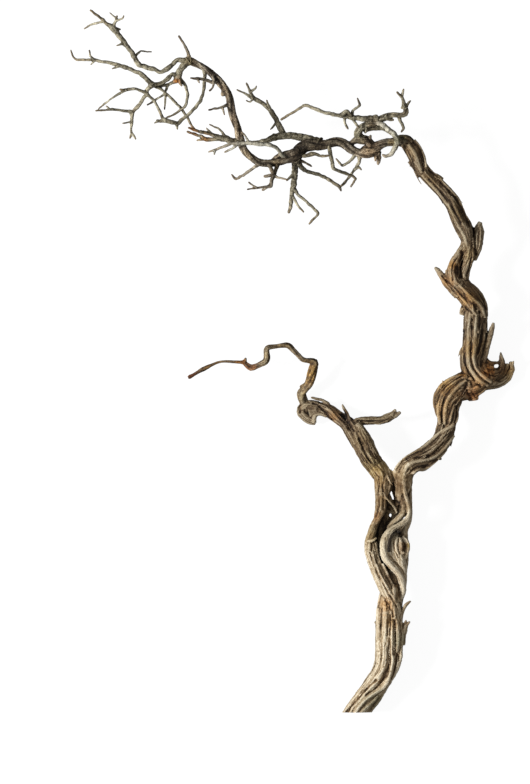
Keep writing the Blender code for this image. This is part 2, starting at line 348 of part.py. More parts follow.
        (-4.9, 98.8, 2.5), (-5.5, 101, 2.15), (-7.5, 105, 2), (-8.8, 107.5), (-10.5, 110),
        (-12.5, 112), (-14.5, 113.5), (-18.4, 115.4, 1.65)]),
    ("rising_tip_a", "rising_twig", (0, 1), [
        (-18, 115.2, 1.5), (-20, 116.5, 1.1), (-22, 117.6), (-25.3, 118.8, 0.6)]),
    ("rising_tip_b", "rising_twig", (0, 3, 5), [
        (-18.2, 115.3, 1.4), (-19.5, 118.3, 1.1), (-20.9, 121.8, 0.75)]),
    ("rising_tip_c", "rising_tip_b", (0, 1), [
        (-19.2, 117.9, 1), (-17, 119.3, 0.75), (-16.6, 120.5, 0.6)]),
    ("rising_tip_d", "rising_twig", (0, -2), [
        (-17.8, 115.2, 1), (-19.3, 113.6, 0.75), (-21.2, 114.5, 0.6)]),
    ("rising_spur", "rising_twig", (0, 2), [(-10.3, 109.8, 1.1), (-12.2, 114.5, 0.75)]),
    ("rising_low_spur", "rising_twig", (0, -2), [(-7.4, 104.9, 1.1), (-10.5, 101.4, 0.6)]),
    ("arching_limb", "crown_lump", (0, 2, 4, 6), [
        (29.5, 97, 4), (27.7, 99, 4), (28.6, 101.6, 3.8), (31, 103.4, 3.4), (34, 104.3, 3.2),
        (37, 105.6, 3), (40, 106.8, 3.2), (43, 107.6, 2.9), (46, 107.6, 2.8), (48, 108.2, 3),
        (48.3, 109.8, 2.6), (47.6, 111.2, 2.3)]),
    ("arching_inner", "arching_limb", (0, -1.5, -2, -2.5), [
        (30.4, 101.6, 2.4), (33, 102, 2.2), (36, 102.3, 2), (38.6, 101.8, 1.8), (40.8, 100.7, 1.6),
        (42.6, 99.2, 1.4)]),
    ("arching_tip_a", "arching_limb", (0, 2, 4), [
        (47.8, 110.8, 2.25), (47.2, 113.4, 1.4), (46.7, 114.8), (44.3, 117.4, 1)]),
    ("arching_tip_b", "arching_tip_a", (0, 1), [(46.6, 114.8, 1.1), (46.9, 117), (47.4, 118.9, 0.75)]),
    ("arching_tip_c", "arching_limb", (0, 1), [
        (47.8, 110.6, 1.75), (49.4, 112.4, 1.1), (50.6, 113.9, 0.75)]),
    ("arching_stub", "arching_limb", (0, 1), [(39.6, 107, 2.5), (41.5, 105.6, 1.5), (43.3, 105.5, 1)]),
    ("arching_hanging", "arching_limb", (0, -2, -2), [
        (45, 107.9, 1.5), (46.8, 103.5, 1.1), (47.5, 101.8), (46.3, 99.9, 0.85)]),
    ("looping_twig", "arching_limb", (0, 2, 1, 0, -2), [
        (35, 105, 1.85), (38.3, 103.3, 1.76), (41, 101.3, 1.76), (43, 99.6, 1.85), (44.3, 97.8, 2.1),
        (44.6, 96, 2.18), (43.8, 93.6, 1.85), (42.8, 91.6, 1.6), (41.4, 90.2, 1.43), (39.8, 89.8, 1.18),
        (38.2, 90.5, 1.01)]),
    ("roof_twig", "arching_limb", (0, 3, 5, 5, 3, 1), [
        (36, 106, 2.6), (32.5, 105.9, 2.3), (29, 106, 2), (26, 106.4, 1.9), (23, 106.8, 1.7),
        (20, 107.2, 1.5), (17, 107.7, 1.5), (14, 108.4, 1.4), (11, 109.2, 1.4), (8, 110.4, 1.3),
        (5.5, 111.6, 1.2), (4, 111.6, 1.1), (0, 109, 1.1), (-3, 107.3, 1.05), (-6, 105.2, 0.9)]),
    ("roof_twig_curl", "roof_twig", (0, 1.5, 0), [
        (20.4, 107.4, 1.4), (22.7, 109.1, 1.6), (24.8, 106.9, 1.3)]),
    ("roof_twig_a", "roof_twig", (0, 2, 5), [
        (24.8, 106.8, 1.25), (25.5, 109.5, 1), (28.3, 111.5), (28, 112.8), (27.2, 114.8, 0.75)]),
    ("roof_twig_b", "roof_twig", (0, -3), [(21.8, 107, 1.1), (22, 104), (23.4, 101.2, 0.75)]),
    ("roof_twig_c", "roof_twig", (0, -2), [(25, 106.5, 1.1), (26.5, 104), (28.3, 101.8, 1)]),
    ("low_twig", "crown", (0, 2, -1, -5, -8, -10), [
        (13.5, 96, 2.25), (15, 94, 1.65), (15.8, 90, 1.5), (16.8, 85, 1.5), (18, 84, 1.4),
        (22.5, 82.3, 1.1), (25.5, 81.2, 1), (26.8, 80), (25.8, 78.8), (24.6, 76.4, 0.75)]),
    ("low_left_twig", "crown", (0, -5, -9, -11), [
        (28.6, 91, 2), (28, 87, 1.25), (26.5, 84.5, 1.1), (25, 82.3), (22, 78.5, 1),
        (20, 76.4, 0.85)]),
    ("low_left_hook", "low_left_twig", (0, 2), [(26.4, 84.4, 1), (28.2, 85), (29.2, 83.8, 0.75)]),
    ("low_flat_twig", "crown", (0, -2, -6), [
        (27.2, 91.4, 1.75), (24, 87.5, 1.1), (20.8, 85.9, 1), (18, 88.9, 0.75)]),
    ("low_long_twig", "crown", (0, -5, -8, -10, -12), [
        (0.6, 88.6, 2.5), (3, 84.8, 1.65), (5.5, 83.3, 1.5), (11, 81.7, 1.4), (14, 80.3),
        (17, 78.3), (19.5, 76.8, 1.25), (20.6, 74.5, 0.75)]),
    ("low_long_spur", "crown", (0, -3), [(1.2, 88.4, 1.5), (4.5, 86.9, 1), (7.7, 85.1, 0.75)]),
    ("low_short_twig", "crown", (0, 3, 6), [
        (1.6, 91, 2), (4, 89.6, 1.4), (7.3, 90.4, 1.75), (9, 90.5, 1.25), (11, 89.8),
        (15.3, 89.8, 0.85)]),
    ("down_twig", "crown", (0, -7, -11, -14, -16), [
        (0.2, 89, 2.75), (0.3, 85, 2.5), (0.1, 82, 2.25), (-0.2, 78, 2.25), (-0.8, 75, 2),
        (-1.3, 72, 1.65), (-1.5, 69, 1.5), (-2.4, 65, 1)]),
    ("down_twig_long", "down_twig", (0, -1, -3, -5), [
        (-0.6, 76, 1.5), (2, 73, 1.1), (7, 68.6), (10.3, 65.2, 1.1), (9, 63.2), (6.2, 60.3, 0.85)]),
    ("down_twig_mid", "down_twig", (0, 2), [(-1.1, 73.2, 1.1), (1.3, 69), (4.2, 65.4, 0.75)]),
    ("down_twig_spur", "down_twig", (0, 3), [(-0.2, 82, 1.25), (-2, 80.5, 1), (-3.4, 79, 0.85)]),
    ("rust_twig", "crown", (0, -4, -6), [
        (-14.6, 86.7, 1.75), (-17.5, 84.7, 1.25), (-22, 81.6, 1.1), (-25.5, 80, 1),
        (-27.4, 81.9, 0.75)]),
    ("forked_twig", "crown", (0, 4, 6, 8, 10), [
        (-6.5, 87.2, 2.25), (-7.3, 86, 1.75), (-8, 84, 1.65), (-9.8, 79, 1.5), (-10.3, 76.8, 1.4),
        (-11.5, 76.3, 1.1), (-17, 75.6, 0.85), (-20.7, 75, 0.6)]),
    ("forked_twig_a", "forked_twig", (0, 2), [(-16.5, 75.7, 0.85), (-20, 78.4, 0.75)]),
    ("forked_twig_b", "forked_twig", (0, -2), [(-10.5, 76.9, 1.25), (-12.5, 75.8), (-14.2, 74.7, 1)]),
    ("forked_twig_c", "forked_twig", (0, -1), [(-8.8, 81.5, 1.25), (-11.5, 81), (-13.5, 80.7, 1)]),
    ("forked_twig_d", "forked_twig", (0, 2), [(-8.8, 81.2, 1.1), (-7, 80.2), (-3.3, 79.3, 0.75)]),
    ("forked_root", "crown", (0, 3, 5.3), [(-11.8, 86.4, 1.9), (-10.8, 85.4, 1.5), (-9.3, 82.2, 1.4)]),
]

# Forks where a piece is parted from what it grows from: piece, route and how far along that
# route, in millimetres, its saw cut lies
SAW_CUTS = [
    ("left_limb", "left_limb", 12.8, 6.4),
    ("right_limb", "right_limb", 16.5, 6.6),
    ("upper_limb", "upper_limb", 26.2, 9.8),
    ("crown_limb", "crown", 6.2, 3.6),
    ("left_broken_branch", "broken_branch", 7.6, 3.4),
    ("left_twig", "left_twig", 3.4, 2.6),
    ("crown_upper_limb", "arching_limb", 2.6, 2.9),
    ("roof_twig", "roof_twig", 6.6, 1.8),
    ("looping_twig", "looping_twig", 4.6, 1.6),
    ("middle_twig", "middle_twig", 4.8, 2.8),
    ("rising_twig", "rising_twig", 2.2, 1.5),
    ("low_twig", "low_twig", 3.4, 1.3),
    ("low_left_twig", "low_left_twig", 3.4, 1.3),
    ("low_flat_twig", "low_flat_twig", 3.4, 1.2),
    ("low_long_twig", "low_long_twig", 3.6, 1.4),
    ("low_short_twig", "low_short_twig", 2.6, 1.2),
    ("down_twig", "down_twig", 3.6, 1.7),
    ("rust_twig", "rust_twig", 2.6, 1.2),
    ("pale_twig", "pale_twig", 3.6, 1.5),
    ("claw_twig", "claw_twig", 2.4, 1.6),
    ("outer_twig", "outer_twig", 3.2, 1.5),
    ("knob_twig", "knob_twig", 3.2, 1.6),
    ("long_twig", "long_twig", 2.2, 1.4),
    ("drooping_twig", "drooping_twig", 2.2, 1.4),
    ("hanging_twig", "hanging_twig", 3.4, 1.5),
]

# Looks of the bare wood: colour, roughness
WOOD = {
    "trunk": ((0.47, 0.39, 0.27), 0.78),
    "limb": ((0.30, 0.24, 0.17), 0.80),
    "crown": ((0.17, 0.13, 0.09), 0.82),
    "twig": ((0.19, 0.16, 0.11), 0.82),
    "pale": ((0.36, 0.33, 0.25), 0.80),
    "tan": ((0.27, 0.17, 0.08), 0.80),
}
PIECE_WOOD = {
    "trunk": "trunk", "left_limb": "limb", "right_limb": "limb", "upper_limb": "limb",
    "left_broken_branch": "limb", "crown_limb": "crown", "crown_upper_limb": "crown",
    "left_twig": "tan", "rust_twig": "tan", "pale_twig": "pale", "looping_twig": "pale",
}


def smooth_route(points, step):
    """Points every step or so along a smooth curve through a route, as rows x, y, z, diameter."""
    rows = [np.array(p, float) for p in points]
    rows = [2 * rows[0] - rows[1]] + rows + [2 * rows[-1] - rows[-2]]
    out = []
    for a, b, c, d in zip(rows, rows[1:], rows[2:], rows[3:]):
        count = max(1, round(np.linalg.norm((c - b)[:3]) / step))
        for i in range(count):
            t = i / count
            out.append(0.5 * (2 * b + (c - a) * t + (2 * a - 5 * b + 4 * c - d) * t ** 2
                              + (3 * b - a - 3 * c + d) * t ** 3))
    out.append(rows[-2])
    return np.array(out)


def lengths(rows):
    """Distance along a route at each of its rows."""
    steps = np.linalg.norm(np.diff(rows[:, :3], axis=0), axis=1)
    return np.concatenate([[0.0], np.cumsum(steps)])


def frames(rows):
    """Tangents of a route with two side directions that don't twist along it."""
    tangents = np.gradient(rows[:, :3], axis=0)
    tangents /= np.linalg.norm(tangents, axis=1)[:, None]
    side = np.cross(tangents[0], (0.0, 0.0, 1.0))
    if np.linalg.norm(side) < 0.1:
        side = np.cross(tangents[0], (0.0, 1.0, 0.0))
    sides = []
    for tangent in tangents:
        side = side - tangent * side.dot(tangent)
        side /= np.linalg.norm(side)
        sides.append(side)
    sides = np.array(sides)
    return tangents, sides, np.cross(tangents, sides)


def tube(name, rows, ring_sides):
    """Closed tube along rows x, y, z, diameter with a ring at each row."""
    tangents, sides, ups = frames(rows)
    angles = np.arange(ring_sides) * 2 * math.pi / ring_sides
    mesh_build = bmesh.new()
    rings = []
    for row, side, up in zip(rows, sides, ups):
        ring = [mesh_build.verts.new(Vector((row[:3] + row[3] / 2 * (math.cos(a) * side + math.sin(a) * up)) * MM))
                for a in angles]
        rings.append(ring)
    for low, high in zip(rings, rings[1:]):
        for i in range(ring_sides):
            j = (i + 1) % ring_sides
            mesh_build.faces.new((low[i], low[j], high[j], high[i]))
    mesh_build.faces.new(rings[0][::-1])
    mesh_build.faces.new(rings[-1])
    bmesh.ops.recalc_face_normals(mesh_build, faces=mesh_build.faces)
    return to_object(name, mesh_build)


def to_object(name, mesh_build):
    """New object from a finished bmesh."""
    mesh = bpy.data.meshes.new(name)
    mesh_build.to_mesh(mesh)
    mesh_build.free()
    obj = bpy.data.objects.new(name, mesh)
    bpy.context.scene.collection.objects.link(obj)
    return obj


def winding_strands(rows, count, turns, share, core):
    """Core of a limb and the strands that wind round it, as a list of routes."""
    rows = smooth_route(rows, 2.0)
    along = lengths(rows)
    _, sides, ups = frames(rows)
    centre = rows.copy()
    centre[:, 3] *= core
    routes = [centre]
    for k in range(count):
        wave = 0.35 * np.sin(along * 0.11 + k * 1.7)
        angle = 2 * math.pi * (k / count + turns * along / along[-1]) + wave
        reach = rows[:, 3] / 2 * (1 - share) * (1 + 0.06 * np.sin(along * 0.23 + k * 2.1))
        strand = rows.copy()
        strand[:, :3] += reach[:, None] * (np.cos(angle)[:, None] * sides + np.sin(angle)[:, None] * ups)
        strand[:, 3] = rows[:, 3] * share * (1 + 0.15 * np.sin(along * 0.17 + k * 2.9))
        routes.append(strand)
    return routes


def evaluated(obj):
    """Mesh of an object with its modifiers, which then are done with."""
    graph = bpy.context.evaluated_depsgraph_get()
    mesh = bpy.data.meshes.new_from_object(obj.evaluated_get(graph))
    obj.modifiers.clear()
    obj.data = mesh
    return obj


def join_meshes(name, objects):
    """One object that holds the meshes of several, which are removed."""
    mesh_build = bmesh.new()
    for obj in objects:
        mesh_build.from_mesh(obj.data)
        bpy.data.objects.remove(obj)
    return to_object(name, mesh_build)


def islands(mesh_build):
    """Lists of faces that hang together."""
    left = set(mesh_build.faces)
    groups = []
    while left:
        stack = [left.pop()]
        group = []
        while stack:
            face = stack.pop()
            group.append(face)
            for edge in face.edges:
                for other in edge.link_faces:
                    if other in left:
                        left.remove(other)
                        stack.append(other)
        groups.append(group)
    return groups


def keep_outer_skin(obj):
    """Only the largest of an object's islands, without the hollows left between strands."""
    mesh_build = bmesh.new()
    mesh_build.from_mesh(obj.data)
    groups = sorted(islands(mesh_build), key=len)
    small = [face for group in groups[:-1] for face in group]
    bmesh.ops.delete(mesh_build, geom=small, context="FACES")
    mesh_build.to_mesh(obj.data)
    mesh_build.free()


def fused_limbs():
    """Skin over all strands of the trunk and limbs."""
    routes = []
    for name, rows in LIMBS.items():
        routes += winding_strands(rows, *WINDING[name])
    routes += [smooth_route(strand, 2.0) for strand in STRANDS.values()]
    wood = join_meshes("limbs", [tube("strand", rows, 10) for rows in routes])
    skin = wood.modifiers.new("skin", "REMESH")
    skin.mode = "VOXEL"
    skin.voxel_size = STRAND_VOXEL * MM
    evaluated(wood)
    keep_outer_skin(wood)
    fewer = wood.modifiers.new("fewer", "DECIMATE")
    fewer.ratio = LIMB_TRIANGLES / (2 * len(wood.data.polygons))
    evaluated(wood)
    return wood


def full_points(points):
    """Route points x, y, diameter with the diameters that are left out filled in."""
    known = [i for i, p in enumerate(points) if len(p) == 3]
    diameters = np.interp(range(len(points)), known, [points[i][2] for i in known])
    return np.array([(p[0], p[1], d) for p, d in zip(points, diameters)])


def height_beside(rows, x, y):
    """Height of a route at its point nearest to x, y as seen from above."""
    fine = smooth_route(rows, 0.5)
    return fine[np.argmin((fine[:, 0] - x) ** 2 + (fine[:, 1] - y) ** 2), 2]


def twig_routes():
    """Rows x, y, z, diameter of every twig, by name."""
    routes = {name: np.array(STRANDS[name], float) for name in ("knob", "broken_branch")}
    routes.update({name: np.array(rows, float) for name, rows in LIMBS.items()})
    for name, parent, rise, points in TWIGS:
        flat = full_points(points)
        steps = np.linalg.norm(np.diff(flat[:, :2], axis=0), axis=1)
        part = np.concatenate([[0.0], np.cumsum(steps)]) / steps.sum()
        height = np.interp(part, np.linspace(0, 1, len(rise)), rise)
        if parent:
            height = height + height_beside(routes[parent], *flat[0, :2])
        routes[name] = np.column_stack([flat[:, :2], height, flat[:, 2]])
    return routes


def ring_sides(rows):
    """Sides of a twig's rings, fewer on thin twigs."""
    thickness = rows[:, 3].mean()
    return next(sides for size, sides in TWIG_RING_SIDES if thickness >= size)


def combine(obj, others, operation):
    """Object joined with or cut by others, which are removed."""
    group = bpy.data.collections.new("others")
    for other in others:
        group.objects.link(other)
    change = obj.modifiers.new("change", "BOOLEAN")
    change.operation = operation
    change.solver = "EXACT"
    change.operand_type = "COLLECTION"
    change.collection = group
    evaluated(obj)
    for other in others:
        bpy.data.objects.remove(other)
    bpy.data.collections.remove(group)


def saw_cut(rows, along, radius):
    """Thin disc across a route, and the point of the route just past it."""
    fine = smooth_route(rows, 0.2)
    distance = lengths(fine)
    tangents, _, _ = frames(fine)
    here = int(np.argmin(abs(distance - along)))
    past = int(np.argmin(abs(distance - along - MARK_AHEAD)))
    direction = tangents[here] / np.linalg.norm(tangents[here])
    half = FORK_GAP / 2 * direction
    ends = np.array([[*(fine[here, :3] - half), 2 * radius], [*(fine[here, :3] + half), 2 * radius]])
    return tube("saw", ends, 12), fine[past, :3]


def slab(name, low, high):
    """Box between two corners, in millimetres."""
    mesh_build = bmesh.new()
    bmesh.ops.create_cube(mesh_build, size=1.0)
    for vert in mesh_build.verts:
        for i in range(3):
            vert.co[i] = (high[i] if vert.co[i] > 0 else low[i]) * MM
    return to_object(name, mesh_build)


def wood_material(name, look):
    """Bare wood of one colour."""
    colour, roughness = WOOD[look]
    material = bpy.data.materials.new(name)
    material.use_nodes = True
    shader = material.node_tree.nodes["Principled BSDF"]
    shader.inputs["Base Color"].default_value = (*colour, 1.0)
    shader.inputs["Roughness"].default_value = roughness
    shader.inputs["Metallic"].default_value = 0.0
    return material


def part_at_forks(branch, marks):
    """One object for each piece of the sawn branch, named by the mark that it holds."""
    source = bmesh.new()
    source.from_mesh(branch.data)
    bpy.data.objects.remove(branch)
    groups = islands(source)
    skins = []
    for group in groups:
        order = {}
        polygons = [[order.setdefault(vert, len(order)) for vert in face.verts] for face in group]
        skins.append(BVHTree.FromPolygons([vert.co for vert in order], polygons))
    owner = {}
    for name, mark in marks.items():
        distances = [skin.find_nearest(Vector(mark * MM))[3] for skin in skins]
        owner.setdefault(int(np.argmin(distances)), []).append(name)
    for index, group in enumerate(groups):
        names = owner.get(index, [])
        label = names[0] if names else f"loose_{index}"
        piece = bmesh.new()
        verts = {vert: piece.verts.new(vert.co) for face in group for vert in face.verts}
        for face in group:
            piece.faces.new([verts[vert] for vert in face.verts])
        obj = to_object(label, piece)
        obj.data.shade_smooth()
        obj.data.set_sharp_from_angle(angle=math.radians(50))
        obj.data.materials.append(wood_material(label, PIECE_WOOD.get(label, "twig")))


def main():
    for obj in list(bpy.data.objects):
        bpy.data.objects.remove(obj)
    routes = twig_routes()
    branch = fused_limbs()
    twigs = [tube(name, routes[name], ring_sides(routes[name])) for name, *_ in TWIGS]
    combine(branch, twigs, "UNION")
    marks = {"trunk": np.array((41.0, -124.0, 15.0))}
    saws = [slab("floor", (-150, -200, -20), (150, 200, 0)),
            slab("end", (0, -200, -20), (60, SAWN_END_Y, 60))]
    for name, route, along, radius in SAW_CUTS:
        saw, mark = saw_cut(routes[route], along, radius)
        saws.append(saw)
        marks[name] = mark
    combine(branch, saws, "DIFFERENCE")
    part_at_forks(branch, marks)


main()
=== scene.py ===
"""Looks of the fallen tree branch: a dry twisted branch on a pale floor, seen from above.

The branch keeps the routes of its frame, in millimetres: x to the right, y towards the twigs,
z up from the floor. Its strands are fused into a fine skin, which is furrowed along the grain.
"""
import math
import random

import bmesh
import bpy
import numpy as np
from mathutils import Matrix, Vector
from mathutils.bvhtree import BVHTree
from mathutils.kdtree import KDTree


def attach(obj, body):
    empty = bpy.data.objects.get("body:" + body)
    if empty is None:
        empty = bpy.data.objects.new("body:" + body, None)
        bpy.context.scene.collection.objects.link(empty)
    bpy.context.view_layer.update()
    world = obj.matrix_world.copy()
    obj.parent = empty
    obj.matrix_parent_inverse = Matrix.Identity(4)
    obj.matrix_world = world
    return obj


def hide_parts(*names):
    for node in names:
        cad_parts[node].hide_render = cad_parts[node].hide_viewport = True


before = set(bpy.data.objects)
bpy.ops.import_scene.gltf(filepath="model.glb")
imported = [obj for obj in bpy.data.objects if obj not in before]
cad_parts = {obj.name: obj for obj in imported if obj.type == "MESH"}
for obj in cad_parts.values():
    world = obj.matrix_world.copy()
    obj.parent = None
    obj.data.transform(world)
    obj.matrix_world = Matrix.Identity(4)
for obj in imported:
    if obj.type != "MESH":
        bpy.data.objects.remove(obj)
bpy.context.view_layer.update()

MM = 0.001
SAWN_END_Y = -152.7        # plane of the sawn end
MARK_AHEAD = 1.5           # how far past its saw cut a piece is told from its neighbours
TRUNK_MARK = (41, -124, 9)  # place by which the trunk is told from the limbs

# Skins: mesh size, depth of the furrows, and sides of the tubes that are fused
LIMB_SKIN = (0.30, 0.45, 20)
CROWN_SKIN = (0.215, 0.17, 12)
SKIN_ROUNDS = 2            # times that a fused skin is smoothed
NEAR_SAMPLES = 7           # strand samples that are tried for each point of a skin

GRAIN_STRETCH = 0.12       # how long the grain is drawn out along a strand
GRAIN_SHIFT = (7.3, 3.1, 5.7)   # how far the grain of each strand lies from the last one's
ROPY_DIAMETER = 2.5        # twigs thicker than this are made of winding strands
ROPY_TURN = 45.0           # length in which those strands go once round
ROPY_STRANDS = 3
ROPY_SHARE = 0.58          # width of each of them and of their core, as shares of the twig's
ROPY_CORE = 0.66

# Camera: the photo's scale and framing, seen from straight above
MM_PER_PIXEL = 0.4354
PHOTO_HEIGHT = 784         # pixels
VIEW_CENTRE = (-12.8, -12.8)
FOCUS_HEIGHT = 20.0        # height at which the photo's scale holds
LENS = 500.0
SENSOR = 36.0

# Light
WORLD_LIGHT = 0.27
KEY_WATTS = 21.0
FILL_WATTS = 2.0
FLOOR_GLOW = 0.93          # the floor's own light, which keeps it white under faint shadows
FLOOR_COLOUR = 0.14
FLOOR_SIZE = 6.0           # metres, as are the next three values
KEY_PLACE, KEY_SIZE = (-1.05, -0.1, 0.75), 0.28
FILL_PLACE, FILL_SIZE = (0.9, -0.5, 1.1), 0.8
CLIP_START, CLIP_END = 0.01, 100.0

# Limbs: centre line x, y, z and overall diameter; strands wind round each of them
LIMBS = {
    "lower_trunk": [
        (24.4, -157, 5, 10.8), (27.1, -152.7, 5.1, 10.8), (31.4, -146.5, 5.8, 11),
        (33.6, -143.5, 6.3, 10.8), (36.3, -139.5, 7, 10.8), (38.6, -136, 7.6, 10.8),
        (40.4, -131, 8.3, 10.9), (41.1, -125.5, 9, 11.7), (41.6, -120, 9.6, 12.7),
        (41.4, -116, 10, 12.3), (41, -112, 10.4, 11.1), (41.2, -106, 11, 9.9), (42, -101, 11, 9),
        (42.4, -97, 10.6, 7)],
    "left_limb": [
        (39.5, -57, 12, 5), (39.3, -52, 12.8, 8), (38, -48.5, 12.8, 9.2), (35.8, -45.3, 12.3, 9),
        (33, -42, 11.5, 9.1), (30.5, -37.8, 10.4, 9.1), (28, -33.5, 9.4, 8.9), (26, -29.8, 8.2, 8.9),
        (22.8, -26.4, 6.8, 7.2), (19, -23.8, 5.6, 6.6), (15.5, -21.2, 4.6, 6.2), (12.5, -20, 3.8, 5.8),
        (9.5, -19.6, 3.4, 5.6), (6.5, -19.6, 3, 5.4)],
    "right_limb": [
        (46, -60, 11.6, 4.6), (47.2, -55, 12.5, 7.6), (47.3, -51, 13, 9), (48.5, -47, 13.3, 9.5),
        (52.5, -43.5, 13.3, 10), (57.5, -41, 12.8, 9.8), (62, -37, 12, 9.5), (65, -33, 11.2, 9),
        (66.3, -29, 10.6, 8.6), (67, -25, 10.2, 9.6), (66.5, -21, 9.8, 11), (67, -16, 9.4, 12.6),
        (71, -11, 9, 12.4), (76, -9, 8.6, 11.5)],
    "upper_limb": [
        (70, -12, 8.8, 10), (76, -10, 8.4, 11.6), (80, -6.5, 8, 12), (78, -2, 8.2, 11.4),
        (77.3, 2, 8.6, 11.2), (78, 6, 9, 11.2), (78.6, 10, 9.4, 10.9), (78.8, 14, 9.8, 10.6),
        (78.7, 18, 10.4, 10.8), (79, 21, 11, 10.8), (79, 24, 11.6, 10.4), (77.4, 27.4, 12.4, 10.2),
        (74.8, 30.5, 13, 9.8), (72.6, 33.4, 13.6, 8.4)],
    "shoulder": [
        (75.6, 50.5, 14.8, 5.4), (75.2, 54.5, 15.6, 6.6), (74, 58.6, 16.2, 8), (71.9, 62.8, 17, 7.9),
        (70, 66.5, 17.8, 7.6), (67.9, 70.5, 18.6, 7.4), (65.6, 74, 19.4, 7.1), (62.7, 77.2, 20.1, 7.1),
        (59.8, 79.9, 20.8, 7.1), (57, 82.4, 21.4, 7), (54.5, 86, 22, 6.7), (53, 89.5, 22.4, 7.2),
        (51, 93, 22.8, 7), (48.8, 95.6, 23, 6.2), (47.2, 96.4, 23.3, 5.4)],
}

# How the strands wind round each limb: number, whole turns, strand width as a share of the
# limb's diameter, and the width of the core inside them
WINDING = {
    "lower_trunk": (9, 0.25, 0.24, 0.86),
    "left_limb": (8, 0.35, 0.26, 0.86),
    "right_limb": (8, 0.60, 0.27, 0.86),
    "upper_limb": (9, 0.35, 0.25, 0.86),
    "shoulder": (7, 0.35, 0.30, 0.86),
}

# Unevenness of a winding strand: size, radians along each millimetre, and shift between strands
STRAY = (0.35, 0.11, 1.7)  # of its way round the limb, in radians
SINK = (0.09, 0.13, 2.4)   # of its distance from the middle, as a share
SWELL = (0.15, 0.17, 2.9)  # of its width, as a share

